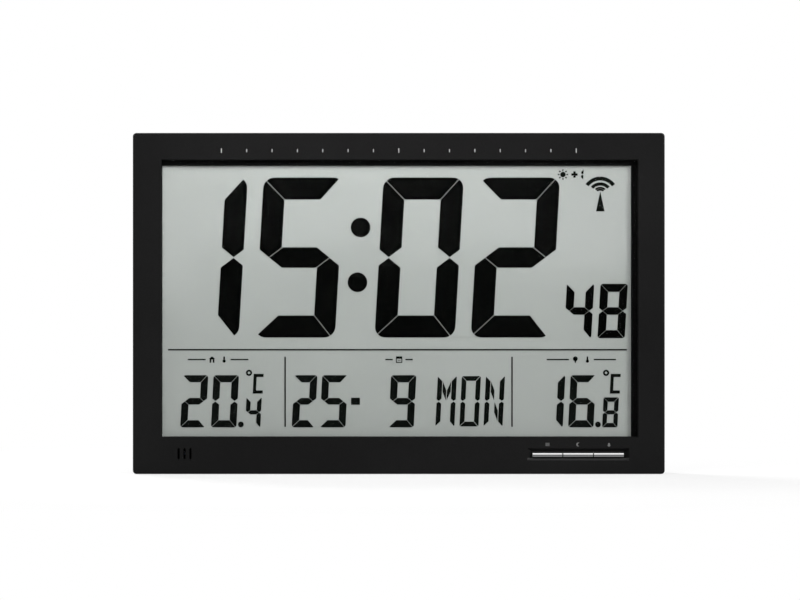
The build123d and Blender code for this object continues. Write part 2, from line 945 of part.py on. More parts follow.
# Hours, minutes and seconds
time_sizes = (time_figure_width, time_figure_height, time_bar, time_gap, time_corner)
seconds_sizes = (seconds_figure_width, seconds_figure_height, seconds_bar, seconds_gap, data_corner)
seconds_middle = time_low - seconds_drop + seconds_figure_height / 2
hour_tens = view_left + time_left_gap + time_figure_width / 2
hour_units = hour_tens + time_pitch
minute_tens = hour_units + time_figure_width + time_colon_space
minute_units = minute_tens + time_pitch
seconds_units = open_right - seconds_inset
with BuildPart() as lcd_time_segments:
    with BuildSketch(at_depth(segment_depth)):
        for figure, place in zip("1502", (hour_tens, hour_units, minute_tens, minute_units)):
            draw_figure(figure, (place, time_middle), time_sizes, time_slant_share)
        for figure, place in zip("48", (seconds_units - seconds_pitch, seconds_units)):
            draw_figure(figure, (place, seconds_middle), seconds_sizes, time_slant_share)
        colon_middle = (hour_units + minute_tens) / 2 - colon_left_shift
        for side in (-1, 1):
            lift = colon_lift + side * colon_half_span
            with Locations((colon_middle + time_slant_share * lift, time_middle + lift)):
                Circle(colon_radius)
    extrude(amount=-segment_thickness)
finish(lcd_time_segments, "lcd_time_segments")

# Temperatures, date and weekday
with BuildPart() as lcd_data_segments:
    with BuildSketch(at_depth(segment_depth)):
        draw_temperature("204", open_left + indoor_inset)
        draw_temperature("168", open_right - outdoor_inset - data_pitch)
        data_middle = open_low + data_rise
        for figure, share, width_share in zip("259", date_place_shares, date_width_shares):
            date_sizes = (date_span * width_share, data_figure_height, date_bar, data_gap, data_corner)
            draw_figure(figure, (date_left + date_span * share, data_middle), date_sizes)
        with Locations((date_left + date_span * dash_place_share, data_middle)):
            Rectangle(date_span * dash_width_share, dash_height)
        for strokes, share in zip(("bcefhj", "abcdef", "bcefhm"), weekday_place_shares):
            draw_letter(strokes, (date_left + date_span * share, data_middle))
    extrude(amount=-segment_thickness)
finish(lcd_data_segments, "lcd_data_segments")

# Rules, heading icons, summer time sign and reception mast
with BuildPart() as lcd_icon_segments:
    with BuildSketch(at_depth(segment_depth)):
        sides_box(
            open_left + rule_inset, open_right - rule_right_inset,
            rule_middle - rule_width / 2, rule_middle + rule_width / 2,
        )
        for middle in (date_left, date_right):
            sides_box(
                middle - divider_width / 2, middle + divider_width / 2,
                open_low + divider_low_inset, open_low + divider_high_inset,
            )
        heading = open_low + heading_rise
        icon_room = heading_icon_step + heading_height
        indoor_heading = open_left + indoor_heading_inset + indoor_heading_width / 2
        draw_house((indoor_heading - heading_icon_step, heading))
        draw_thermometer((indoor_heading + heading_icon_step, heading))
        draw_flanks(indoor_heading, indoor_heading_width, icon_room, heading)
        outdoor_heading = open_right - outdoor_heading_inset
        draw_tree((outdoor_heading - heading_icon_step, heading))
        draw_thermometer((outdoor_heading + heading_icon_step, heading))
        draw_flanks(outdoor_heading, outdoor_heading_width, icon_room, heading)
        date_heading = date_left + date_span * date_heading_share
        draw_calendar((date_heading, heading))
        draw_flanks(date_heading, date_heading_width, heading_height, heading)
        mast = open_right - mast_inset
        mast_top = open_high - mast_top_inset
        with BuildLine():
            Polyline(
                (mast, mast_top),
                (mast + mast_width / 2, mast_top - mast_height),
                (mast - mast_width / 2, mast_top - mast_height),
                close=True,
            )
        make_face()
        wave_middle = (mast, mast_top - wave_drop)
        for radius, stroke, angle in zip(wave_radii, wave_strokes, wave_angles):
            with BuildLine():
                outer_arc = CenterArc(wave_middle, radius, quarter_turn - angle / 2, angle)
                inner_arc = CenterArc(wave_middle, radius - stroke, quarter_turn - angle / 2, angle)
                Line(outer_arc @ 0, inner_arc @ 0)
                Line(outer_arc @ 1, inner_arc @ 1)
            make_face()
        sun = (open_right - sun_inset, open_high - sun_top_inset)
        with Locations(sun):
            Circle(sun_radius)
            with PolarLocations(sun_radius + ray_gap + ray_length / 2, ray_count):
                Rectangle(ray_length, ray_width)
        with Locations((sun[0] + hour_sign_step, sun[1])):
            Rectangle(hour_sign_span, hour_bar)
            Rectangle(hour_bar, hour_sign_span)
        hour_sizes = (hour_figure_width, hour_figure_height, hour_bar, hour_gap, hour_corner)
        draw_figure("1", (sun[0] + hour_figure_step - hour_figure_width / 2, sun[1]), hour_sizes)
    extrude(amount=-segment_thickness)
finish(lcd_icon_segments, "lcd_icon_segments")

# Frame that clamps the display against the bezel
with BuildPart() as lcd_frame:
    rim_low = glass_low - push_fit - rim_wall
    rim_high = glass_high + push_fit + rim_wall
    block(rim_left, rim_right, rim_low, rim_high, bezel_plate, lcd_frame_back)
    block(
        rim_left + rim_wall, rim_right - rim_wall, rim_low + rim_wall, rim_high - rim_wall,
        bezel_plate, lcd_frame_depth, Mode.SUBTRACT,
    )
    for x, z in ear_places:
        inner = rim_left + rim_wall if x < 0 else rim_right - rim_wall
        outer = x - ear_end if x < 0 else x + ear_end
        block(
            min(inner, outer), max(inner, outer), z - ear_half_height, z + ear_half_height,
            lcd_frame_depth, lcd_frame_back,
        )
    zebra_low = glass_high - contact_ledge / 2 - zebra_thickness / 2
    zebra_half = main_board_width / 2 - zebra_inset
    block(
        -zebra_half - push_fit, zebra_half + push_fit, zebra_low - push_fit,
        zebra_low + zebra_thickness + push_fit, lcd_frame_depth, lcd_frame_back, Mode.SUBTRACT,
    )
    discs(board_screw_places, standoff_radius, lcd_frame_back, board_depth)
    discs(board_screw_places, small_pilot, lcd_frame_depth, board_depth, Mode.SUBTRACT)
    discs(ear_places, small_pilot, lcd_frame_depth, lcd_frame_back, Mode.SUBTRACT)
finish(lcd_frame, "lcd_frame")

frame_bite = lcd_frame_back - bezel_plate - overrun
frame_screws = pan_screws(
    ear_places, lcd_frame_back, frame_bite, small_screw_radius, small_screw_head_radius,
    small_screw_head_height,
)
finish(frame_screws, "lcd_frame_screws")

with BuildPart() as zebra_strip:
    block(-zebra_half, zebra_half, zebra_low, zebra_low + zebra_thickness, segment_depth, board_depth)
finish(zebra_strip, "zebra_strip")

# Main board and what is soldered to it
with BuildPart() as main_pcb:
    block(
        -main_board_width / 2, main_board_width / 2, main_board_low, main_board_high,
        board_depth, board_back,
    )
    discs(board_screw_places, small_pilot, board_depth, board_back, Mode.SUBTRACT)
finish(main_pcb, "main_pcb")

main_pcb_screws = pan_screws(
    board_screw_places, board_back, small_screw_bite, small_screw_radius, small_screw_head_radius,
    small_screw_head_height,
)
finish(main_pcb_screws, "main_pcb_screws")

with BuildPart() as driver_chips:
    chip_offset = main_board_width / 2 - chip_inset
    chip_places = [(side * chip_offset, main_board_low + chip_rise) for side in (-1, 1)]
    discs(chip_places, chip_radius, board_back, board_back + chip_height)
    chip_tops = driver_chips.faces().group_by(Axis.Y)[-1]
    fillet(chip_tops.edges(), chip_crown)
finish(driver_chips, "driver_chips")

with BuildPart() as quartz_crystals:
    with BuildSketch(at_depth(board_back)):
        for side in (-1, 1):
            with Locations((side * crystal_offset, main_board_low + crystal_rise)):
                SlotOverall(crystal_length, crystal_width)
    extrude(amount=-crystal_height)
finish(quartz_crystals, "quartz_crystals")

with BuildPart() as capacitors:
    capacitor_columns = [inset - main_board_width / 2 for inset in capacitor_left_insets]
    capacitor_columns.append(main_board_width / 2 - capacitor_right_inset)
    capacitor_places = [(x, main_board_low + capacitor_rise) for x in capacitor_columns]
    discs(capacitor_places, capacitor_radius, board_back, board_back + capacitor_height)
    fillet(capacitors.faces().group_by(Axis.Y)[-1].edges(), capacitor_bead)
finish(capacitors, "capacitors")

with BuildPart() as reset_switch:
    switch_back = board_back + switch_height
    block(
        reset_place[0] - switch_side / 2, reset_place[0] + switch_side / 2,
        reset_place[1] - switch_side / 2, reset_place[1] + switch_side / 2,
        board_back, switch_back,
    )
    bore = reset_radius + push_fit
    discs([reset_place], bore, switch_back - switch_bore_depth, switch_back, Mode.SUBTRACT)
finish(reset_switch, "reset_switch")

# Keys, each with its plunger, and the board with their switches
for name, (x, z) in zip(("mode", "snooze", "alarm"), key_places):
    with BuildPart() as key:
        with BuildSketch(across(x - key_width / 2)) as key_section:
            with BuildLine():
                Polyline(
                    (y_at(key_block_depth), z - key_height / 2),
                    (y_at(key_toe_depth), z - key_height / 2),
                    (y_at(key_crest_depth), z),
                    (y_at(key_shoulder_depth), z + key_height / 2),
                    (y_at(key_block_depth), z + key_height / 2),
                    close=True,
                )
            make_face()
            fillet(key_section.vertices().sort_by(Axis.X)[0], key_ridge_radius)
        extrude(amount=key_width)
        block(
            x - key_width / 2, x + key_width / 2, z - key_flange_height / 2,
            z + key_flange_height / 2, key_block_depth, key_flange_back,
        )
    finish(key, f"{name}_button")
    with BuildPart() as plunger:
        discs([(x, z)], plunger_radius, key_flange_back, switch_front + plunger_entry)
    finish(plunger, f"{name}_plunger")

with BuildPart() as key_switch_bodies:
    for x, z in key_places:
        block(
            x - switch_side / 2, x + switch_side / 2, z - switch_side / 2, z + switch_side / 2,
            switch_front, board_depth,
        )
    plunger_bore = plunger_radius + push_fit
    discs(key_places, plunger_bore, switch_front, switch_front + switch_bore_depth, Mode.SUBTRACT)
finish(key_switch_bodies, "key_switch_bodies")

with BuildPart() as key_pcb:
    block(
        key_row - key_board_width / 2, key_row + key_board_width / 2,
        key_rise - key_board_height / 2, key_rise + key_board_height / 2, board_depth, board_back,
    )
    discs(key_post_places, small_pilot, board_depth, board_back, Mode.SUBTRACT)
finish(key_pcb, "key_pcb")

key_pcb_screws = pan_screws(
    key_post_places, board_back, small_screw_bite, small_screw_radius, small_screw_head_radius,
    small_screw_head_height,
)
finish(key_pcb_screws, "key_pcb_screws")

with BuildPart() as ribbon_cable:
    ribbon_left = key_row - key_board_width / 2 + ribbon_side - ribbon_width / 2
    ribbon_right = ribbon_left + ribbon_width
    ribbon_low = key_rise
    ribbon_high = main_board_low + ribbon_land
    ribbon_back = board_back + ribbon_stand_off
    block(
        ribbon_left, ribbon_right, ribbon_low, ribbon_high, board_back,
        ribbon_back + ribbon_thickness,
    )
    block(
        ribbon_left, ribbon_right, ribbon_low + ribbon_thickness, ribbon_high - ribbon_thickness,
        board_back, ribbon_back, Mode.SUBTRACT,
    )
    ribbon_bends = ribbon_cable.edges().filter_by(Axis.X).group_by(Axis.Y)
    fillet(ribbon_bends[-1], ribbon_bend)
    fillet(ribbon_cable.edges().filter_by(Axis.X).filter_by_position(
        Axis.Y, y_at(ribbon_back) - ribbon_thickness / 2, y_at(ribbon_back) + ribbon_thickness / 4
    ).filter_by_position(Axis.Z, ribbon_low + ribbon_thickness / 2, ribbon_high - ribbon_thickness / 2),
        ribbon_bend - ribbon_thickness)
finish(ribbon_cable, "ribbon_cable")

# Indoor sensor behind its slots
with BuildPart() as thermistor_pcb:
    sensor_board_back = sensor_board_depth + board_thickness
    block(
        slot_row - sensor_board_width / 2, slot_row + sensor_board_width / 2,
        slot_rise - sensor_board_height / 2, slot_rise + sensor_board_height / 2,
        sensor_board_depth, sensor_board_back,
    )
    peg_bore = peg_radius + running_fit
    discs(sensor_post_places, peg_bore, sensor_board_depth, sensor_board_back, Mode.SUBTRACT)
finish(thermistor_pcb, "thermistor_pcb")

with BuildPart() as thermistor:
    with Locations((slot_row, y_at(bead_depth), slot_rise)):
        Sphere(bead_radius)
    leg_places = [(slot_row + side * bead_leg_step, slot_rise) for side in (-1, 1)]
    discs(leg_places, bead_leg_radius, bead_depth, sensor_board_depth)
finish(thermistor, "thermistor")

# Rear shell: walls, stand recess, battery tub, keyholes, grille, posts and screw wells
with BuildPart() as rear_cover:
    with BuildSketch(at_depth(front_depth)) as cover_outline:
        case_outline()
        fillet(cover_outline.vertices(), corner_radius)
    extrude(amount=front_depth - case_depth)
    fillet(rear_cover.faces().sort_by(Axis.Y)[-1].edges(), rear_edge_radius)
    chamfer(rear_cover.faces().sort_by(Axis.Y)[0].edges(), seam_chamfer)
    with BuildSketch(at_depth(front_depth)):
        case_outline(side_wall)
    extrude(amount=front_depth - rear_wall_depth, mode=Mode.SUBTRACT)
    tongue_inset = side_wall + push_fit
    with BuildSketch(at_depth(front_depth - tongue_height)):
        case_outline(tongue_inset)
        case_outline(tongue_inset + tongue_thickness, Mode.SUBTRACT)
    extrude(amount=-2 * tongue_height)
    with BuildSketch(at_depth(front_depth)):
        case_outline(side_wall)
        case_outline(tongue_inset, Mode.SUBTRACT)
    extrude(amount=-tongue_height)
    discs(case_screw_places, well_radius + well_wall, front_depth, rear_wall_depth)
    block(
        -stand_recess_half - stand_floor_wall, stand_recess_half + stand_floor_wall, 0,
        stand_recess_high + stand_floor_wall, stand_floor - stand_floor_wall, rear_wall_depth,
    )
    for side in (-1, 1):
        lug_inner = side * stand_recess_half
        lug_outer = side * (stand_recess_half + stand_lug)
        block(
            min(lug_inner, lug_outer), max(lug_inner, lug_outer),
            stand_axis_rise - stand_lug_half_height, stand_axis_rise + stand_lug_half_height,
            stand_floor - stand_floor_wall, rear_wall_depth,
        )
    block(
        tub_left - tub_wall, tub_right + tub_wall, tub_low - tub_wall, tub_high + tub_wall,
        tub_floor_depth - tub_floor, rear_wall_depth,
    )
    finger_low = door_low - door_tab_height - door_finger_room
    block(
        door_left - door_pad_margin, door_right + door_pad_margin, finger_low - door_pad_margin,
        door_high + door_pad_margin, rear_wall_depth - door_pad_thickness, rear_wall_depth,
    )
    pocket_front = rear_wall_depth - keyhole_pocket_depth
    for x, z in keyhole_places:
        block(
            x - keyhole_pocket_half_width - keyhole_pocket_wall,
            x + keyhole_pocket_half_width + keyhole_pocket_wall,
            z - keyhole_pocket_below - keyhole_pocket_wall,
            z + keyhole_pocket_above + keyhole_pocket_wall,
            pocket_front - keyhole_pocket_wall, rear_wall_depth,
        )
    discs(receiver_peg_places + module_peg_places, peg_post_radius, receiver_back, rear_wall_depth)
    cover_peg_front = receiver_back - peg_length
    discs(receiver_peg_places + module_peg_places, peg_radius, cover_peg_front, receiver_back)
    block(
        -stand_recess_half, stand_recess_half, -overrun, stand_recess_high,
        stand_floor, case_depth, Mode.SUBTRACT,
    )
    stand_bore = stand_pin_radius + running_fit
    cross_rod(
        -stand_pin_half, stand_pin_half, stand_axis_depth, stand_axis_rise, stand_bore,
        Mode.SUBTRACT,
    )
    block(tub_left, tub_right, tub_low, tub_high, tub_floor_depth, case_depth, Mode.SUBTRACT)
    block(
        door_left - free_gap, door_right + free_gap, door_low - free_gap, door_high + free_gap,
        door_depth, case_depth, Mode.SUBTRACT,
    )
    groove_depth = door_axis_depth - door_bead_radius - free_gap
    groove_low = door_axis_rise - door_bead_radius - free_gap
    block(
        door_left - free_gap, door_right + free_gap, groove_low, door_high + free_gap,
        groove_depth, case_depth, Mode.SUBTRACT,
    )
    door_pin_end = door_pin_length + free_gap
    cross_rod(
        door_left - door_pin_end, door_right + door_pin_end, door_axis_depth, door_axis_rise,
        door_pin_radius + running_fit, Mode.SUBTRACT,
    )
    finger_half = door_tab_width / 2 + free_gap
    block(
        door_middle - finger_half, door_middle + finger_half, finger_low, door_low,
        rear_wall_depth + door_finger_floor, case_depth, Mode.SUBTRACT,
    )
    lead_bore = lead_radius + push_fit
    for z in (cell_rises[0], cell_rises[-1]):
        cross_rod(tub_left - tub_wall, tub_left, cell_depth, z, lead_bore, Mode.SUBTRACT)
    for x, z in keyhole_places:
        block(
            x - keyhole_pocket_half_width, x + keyhole_pocket_half_width,
            z - keyhole_pocket_below, z + keyhole_pocket_above, pocket_front, rear_wall_depth,
            Mode.SUBTRACT,
        )
        slot_end = z + keyhole_slot_length
        discs([(x, z)], keyhole_entry_radius, rear_wall_depth, case_depth, Mode.SUBTRACT)
        discs([(x, slot_end)], keyhole_slot_width / 2, rear_wall_depth, case_depth, Mode.SUBTRACT)
        block(
            x - keyhole_slot_width / 2, x + keyhole_slot_width / 2, z, slot_end, rear_wall_depth,
            case_depth, Mode.SUBTRACT,
        )
    discs([buzzer_place], grille_radius, rear_wall_depth, case_depth, Mode.SUBTRACT)
    for ring_radius, hole_count in zip(grille_ring_radii, grille_ring_counts):
        with BuildSketch(at_depth(rear_wall_depth)):
            with Locations(buzzer_place):
                with PolarLocations(ring_radius, hole_count):
                    Circle(grille_radius)
        extrude(amount=-rear_wall, mode=Mode.SUBTRACT)
    reset_bore = reset_radius + running_fit
    discs([reset_place], reset_bore, rear_wall_depth, case_depth, Mode.SUBTRACT)
    head_seat = front_depth + well_floor
    discs(case_screw_places, pilot, front_depth, head_seat, Mode.SUBTRACT)
    discs(case_screw_places, well_radius, head_seat, case_depth, Mode.SUBTRACT)
finish(rear_cover, "rear_cover")

case_screws = pan_screws(
    case_screw_places, head_seat, screw_bite, screw_radius, screw_head_radius, screw_head_height
)
finish(case_screws, "case_screws")

# Long-wave time receiver and its ferrite antenna
with BuildPart() as time_receiver_pcb:
    block(
        -receiver_width / 2, receiver_width / 2, receiver_rise - receiver_height / 2,
        receiver_rise + receiver_height / 2, receiver_depth, receiver_back,
    )
    discs(receiver_peg_places, peg_bore, receiver_depth, receiver_back, Mode.SUBTRACT)
finish(time_receiver_pcb, "time_receiver_pcb")

with BuildPart() as receiver_chip:
    block(
        -receiver_chip_side / 2, receiver_chip_side / 2, receiver_rise - receiver_chip_side / 2,
        receiver_rise + receiver_chip_side / 2, receiver_depth - receiver_chip_height,
        receiver_depth,
    )
finish(receiver_chip, "receiver_chip")

with BuildPart() as ferrite_rod:
    cross_rod(-ferrite_length / 2, ferrite_length / 2, ferrite_depth, ferrite_rise, ferrite_radius)
finish(ferrite_rod, "ferrite_rod")

ferrite_bore = ferrite_radius + running_fit
with BuildPart() as antenna_coil:
    coil_half = coil_length / 2
    cross_rod(-coil_half, coil_half, ferrite_depth, ferrite_rise, ferrite_bore + coil_wall)
    cross_rod(-coil_half, coil_half, ferrite_depth, ferrite_rise, ferrite_bore, Mode.SUBTRACT)
finish(antenna_coil, "antenna_coil")

with BuildPart() as antenna_holders:
    for side in (-1, 1):
        middle = side * holder_offset
        block(
            middle - holder_width / 2, middle + holder_width / 2, ferrite_rise - holder_height / 2,
            ferrite_rise + holder_height / 2, ferrite_depth - ferrite_radius - coil_wall,
            rear_wall_depth,
        )
    cross_rod(
        -ferrite_length / 2, ferrite_length / 2, ferrite_depth, ferrite_rise, ferrite_bore,
        Mode.SUBTRACT,
    )
finish(antenna_holders, "antenna_holders")

# Receiver for the outdoor sensor
with BuildPart() as sensor_receiver_pcb:
    block(
        module_place - module_width / 2, module_place + module_width / 2,
        module_rise - module_height / 2, module_rise + module_height / 2,
        receiver_depth, receiver_back,
    )
    discs(module_peg_places, peg_bore, receiver_depth, receiver_back, Mode.SUBTRACT)
finish(sensor_receiver_pcb, "sensor_receiver_pcb")

with BuildPart() as sensor_receiver_can:
    can_left = module_place - module_width / 2 + can_side
    block(
        can_left, can_left + can_width, module_rise - can_height / 2, module_rise + can_height / 2,
        receiver_depth - can_depth, receiver_depth,
    )
finish(sensor_receiver_can, "sensor_receiver_can")

with BuildPart() as helical_antenna:
    antenna_x = module_place + module_width / 2 - coil_antenna_side
    antenna_z = module_rise - module_height / 2 + coil_antenna_low
    antenna_start = (antenna_x, y_at(receiver_depth) - coil_antenna_wire - spring_seat, antenna_z)
    with BuildLine() as antenna_path:
        biarc_coil(
            antenna_start, (0, -1, 0), (1, 0, 0), coil_antenna_radius, coil_antenna_pitch,
            coil_antenna_turns,
        )
    with BuildSketch(Plane(antenna_path.line @ 0, z_dir=antenna_path.line % 0)):
        Circle(coil_antenna_wire)
    sweep(path=antenna_path.line)
finish(helical_antenna, "helical_antenna")

# Buzzer behind its grille
with BuildPart() as buzzer_case:
    buzzer_front = rear_wall_depth - buzzer_height
    seat_depth = buzzer_front + buzzer_wall + buzzer_seat_rise
    inner_radius = buzzer_radius - buzzer_wall
    discs([buzzer_place], buzzer_radius, buzzer_front, rear_wall_depth)
    discs([buzzer_place], inner_radius, seat_depth, rear_wall_depth, Mode.SUBTRACT)
    discs([buzzer_place], inner_radius - buzzer_seat, buzzer_front + buzzer_wall, seat_depth, Mode.SUBTRACT)
finish(buzzer_case, "buzzer_case")

with BuildPart() as piezo_disc:
    discs([buzzer_place], inner_radius - push_fit, seat_depth, seat_depth + piezo_thickness)
finish(piezo_disc, "piezo_disc")

# Cells, contact plates and springs, with every second cell turned round
with BuildPart() as battery_cells:
    for number, z in enumerate(cell_rises):
        if number % 2 == 0:
            nub_end = tub_left + contact_thickness
            cross_rod(nub_end, nub_end + nub_height, cell_depth, z, nub_radius)
            body_left = nub_end + nub_height
        else:
            nub_end = tub_right - contact_thickness
            cross_rod(nub_end - nub_height, nub_end, cell_depth, z, nub_radius)
            body_left = nub_end - nub_height - cell_length
        cross_rod(body_left, body_left + cell_length, cell_depth, z, cell_radius)
    cell_rims = battery_cells.edges().filter_by(GeomType.CIRCLE)
    fillet(cell_rims.filter_by(lambda rim: rim.radius > (nub_radius + cell_radius) / 2), cell_edge)
finish(battery_cells, "battery_cells")

with BuildPart() as contact_plates:
    half_plate = contact_side / 2
    for first, last in ((0, 0), (1, 2), (3, 3)):
        block(
            tub_left, tub_left + contact_thickness, cell_rises[first] - half_plate,
            cell_rises[last] + half_plate, cell_depth - half_plate, cell_depth + half_plate,
        )
    for first, last in ((0, 1), (2, 3)):
        block(
            tub_right - contact_thickness, tub_right, cell_rises[first] - half_plate,
            cell_rises[last] + half_plate, cell_depth - half_plate, cell_depth + half_plate,
        )
finish(contact_plates, "contact_plates")

spring_run = spring_length - 2 * spring_wire - 2 * spring_seat
spring_pitch = spring_run / spring_turns
print("gap between spring turns", round(spring_pitch - 2 * spring_wire, 2))
with BuildPart() as contact_springs:
    for number, z in enumerate(cell_rises):
        plate = tub_right - contact_thickness if number % 2 == 0 else tub_left + contact_thickness
        inward = -1 if number % 2 == 0 else 1
        seat = plate + inward * (spring_wire + spring_seat)
        with BuildLine(mode=Mode.PRIVATE) as spring_path:
            biarc_coil(
                (seat, y_at(cell_depth), z), (inward, 0, 0), (0, 0, 1), spring_radius,
                spring_pitch, spring_turns,
            )
        spring_plane = Plane(spring_path.line @ 0, z_dir=spring_path.line % 0)
        with BuildSketch(spring_plane, mode=Mode.PRIVATE) as spring_section:
            Circle(spring_wire)
        sweep(spring_section.sketch, path=spring_path.line)
finish(contact_springs, "contact_springs")

# Leads from the cells and the indoor sensor to the main board
lead_end = lead_end_inset - main_board_width / 2
lead_rises = [main_board_low + lead_first_rise + number * lead_rise_step for number in range(lead_count)]
lead_columns = [tub_left - lead_first_run - number * lead_spacing for number in range(lead_count)]
for number, (z, name) in enumerate(
    ((cell_rises[-1], "battery_lead_red"), (cell_rises[0], "battery_lead_black"))
):
    column = lead_columns[number]
    lead(
        [
            (tub_left, cell_depth, z),
            (column, cell_depth, z),
            (column, cell_depth, lead_rises[number]),
            (lead_end, cell_depth, lead_rises[number]),
            (lead_end, board_back, lead_rises[number]),
        ],
        name,
    )
sensor_column = max(lead_columns[2], slot_row - sensor_board_width / 2 + sensor_lead_side)
lead(
    [
        (sensor_column, sensor_board_back, slot_rise),
        (sensor_column, lead_depth, slot_rise),
        (sensor_column, lead_depth, lead_rises[2]),
        (lead_end, lead_depth, lead_rises[2]),
        (lead_end, board_back, lead_rises[2]),
    ],
    "sensor_lead",
)

# Battery door on its two stub pins, with a foam strip for the cells
with BuildPart() as battery_door:
    block(door_left, door_right, door_low, door_axis_rise, door_depth, case_depth)
    cross_rod(door_left, door_right, door_axis_depth, door_axis_rise, door_bead_radius)
    block(
        door_middle - door_tab_width / 2, door_middle + door_tab_width / 2,
        door_low - door_tab_height, door_low, case_depth - door_tab_thickness, case_depth,
    )
    cross_rod(
        door_left - door_pin_length, door_right + door_pin_length, door_axis_depth,
        door_axis_rise, door_pin_radius,
    )
finish(battery_door, "battery_door")

with BuildPart() as door_foam:
    block(
        tub_left + foam_end_margin, tub_right - foam_end_margin, tub_low + foam_side_margin,
        tub_high - foam_side_margin, door_depth - foam_thickness, door_depth,
    )
finish(door_foam, "door_foam")

# Folding stand on its pin
with BuildPart() as stand_leg:
    stand_half = stand_width / 2
    block(-stand_half, stand_half, stand_foot_rise, stand_axis_rise, stand_front, stand_back)
    cross_rod(-stand_half, stand_half, stand_axis_depth, stand_axis_rise, stand_thickness / 2)
    with BuildSketch(at_depth(stand_back - stand_panel_depth)):
        with Locations((0, stand_panel_rise)):
            with GridLocations(stand_panel_pitch, stand_panel_pitch, 2, 1):
                RectangleRounded(stand_panel_width, stand_panel_height, stand_panel_radius)
    extrude(amount=-stand_panel_depth, mode=Mode.SUBTRACT)
    discs([(0, stand_foot_rise)], stand_notch_radius, stand_front, stand_back, Mode.SUBTRACT)
    cross_rod(
        -stand_half, stand_half, stand_axis_depth, stand_axis_rise, stand_bore, Mode.SUBTRACT
    )
finish(stand_leg, "stand_leg")

with BuildPart() as stand_foot_pads:
    for side in (-1, 1):
        middle = side * foot_pad_offset
        block(
            middle - foot_pad_width / 2, middle + foot_pad_width / 2,
            stand_foot_rise - foot_pad_height, stand_foot_rise, stand_front + foot_pad_inset,
            stand_back - foot_pad_inset,
        )
finish(stand_foot_pads, "stand_foot_pads")

with BuildPart() as stand_hinge_pin:
    cross_rod(-stand_pin_half, stand_pin_half, stand_axis_depth, stand_axis_rise, stand_pin_radius)
finish(stand_hinge_pin, "stand_hinge_pin")

# Reset button, a long pin from the rear wall to its switch
with BuildPart() as reset_button:
    reset_front = switch_back - plunger_entry
    discs([reset_place], reset_radius, reset_front, case_depth - reset_sink)
    flange_front = rear_wall_depth - reset_flange_thickness
    discs([reset_place], reset_flange_radius, flange_front, rear_wall_depth)
finish(reset_button, "reset_button")
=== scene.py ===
"""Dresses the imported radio-controlled clock: finishes, printed marks, foam, light and camera.

Metres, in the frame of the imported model: X to the right, Y to the rear and Z up, with the origin
under the middle of the case.
"""

import logging
import math
from dataclasses import dataclass, replace
from enum import Enum
from typing import Any, ClassVar, Sequence

import bmesh
import bpy
import numpy as np
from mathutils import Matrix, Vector


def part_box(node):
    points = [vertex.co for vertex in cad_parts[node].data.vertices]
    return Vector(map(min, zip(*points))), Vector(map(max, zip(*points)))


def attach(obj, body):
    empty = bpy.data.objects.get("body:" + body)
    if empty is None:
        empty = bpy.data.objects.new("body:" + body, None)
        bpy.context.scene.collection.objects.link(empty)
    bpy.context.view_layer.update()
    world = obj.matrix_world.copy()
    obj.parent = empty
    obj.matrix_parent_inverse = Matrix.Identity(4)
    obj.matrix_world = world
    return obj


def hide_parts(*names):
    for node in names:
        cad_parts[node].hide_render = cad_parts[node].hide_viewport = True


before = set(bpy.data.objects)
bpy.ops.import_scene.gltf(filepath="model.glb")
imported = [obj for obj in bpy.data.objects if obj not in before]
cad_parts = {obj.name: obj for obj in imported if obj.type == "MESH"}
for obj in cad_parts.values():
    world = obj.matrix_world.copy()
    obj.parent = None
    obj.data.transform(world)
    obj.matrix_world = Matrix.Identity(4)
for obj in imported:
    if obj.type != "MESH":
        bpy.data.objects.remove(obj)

LOG = logging.getLogger("clock")
WELD = 1e-7

Colour = tuple[float, float, float]
Pair = tuple[float, float]
Triple = tuple[float, float, float]
Socket = bpy.types.NodeSocket

EVEN: Triple = (1.0, 1.0, 1.0)
WHITE = (1.0, 1.0, 1.0, 1.0)
HEART: Triple = (0.0, 0.0, 0.12)
NOISE_RANGE: Pair = (0.3, 0.7)


class Side(Enum):
    """The face of the case that a mark lies on, as the way it stands out along Y."""

    FRONT = -1.0
    REAR = 1.0


class Join(Enum):
    """How one band of colour goes over into the next, by Blender's name for it."""

    SHARP = "CONSTANT"
    SOFT = "LINEAR"


class Graph:
    """Lays out shader nodes in one node tree."""

    def __init__(self, tree: bpy.types.NodeTree) -> None:
        """Starts work in that tree."""
        self.tree = tree

    def add(self, kind: str, inputs: dict[Any, Any] | None = None, **settings: Any) -> bpy.types.Node:
        """Adds one node.

        Args:
            kind: Blender's name for this kind of node.
            inputs: a value or a socket for each input, by name or number.
            settings: the node's own properties.

        Returns:
            The new node.
        """
        node = self.tree.nodes.new(kind)
        for key, value in settings.items():
            setattr(node, key, value)
        self.feed(node, inputs or {})
        return node

    def feed(self, node: bpy.types.Node, inputs: dict[Any, Any]) -> None:
        """Gives a node's inputs their values, or links them to sockets.

        Args:
            node: the node that is fed.
            inputs: a value or a socket for each input, by name or number.
        """
        for key, value in inputs.items():
            if isinstance(value, Socket):
                self.tree.links.new(value, node.inputs[key])
            else:
                node.inputs[key].default_value = value

    def sum(self, operation: str, *terms: Any) -> Socket:
        """Returns one Math node's result for these terms."""
        return self.add("ShaderNodeMath", dict(enumerate(terms)), operation=operation).outputs[0]

    def seen(self) -> Socket:
        """Returns 1 for what the camera sees, directly, by gloss or through glass, and 0 for other light."""
        path = self.add("ShaderNodeLightPath").outputs
        direct = self.sum("MAXIMUM", path["Is Camera Ray"], path["Is Glossy Ray"])
        return self.sum("MAXIMUM", direct, path["Is Transmission Ray"])


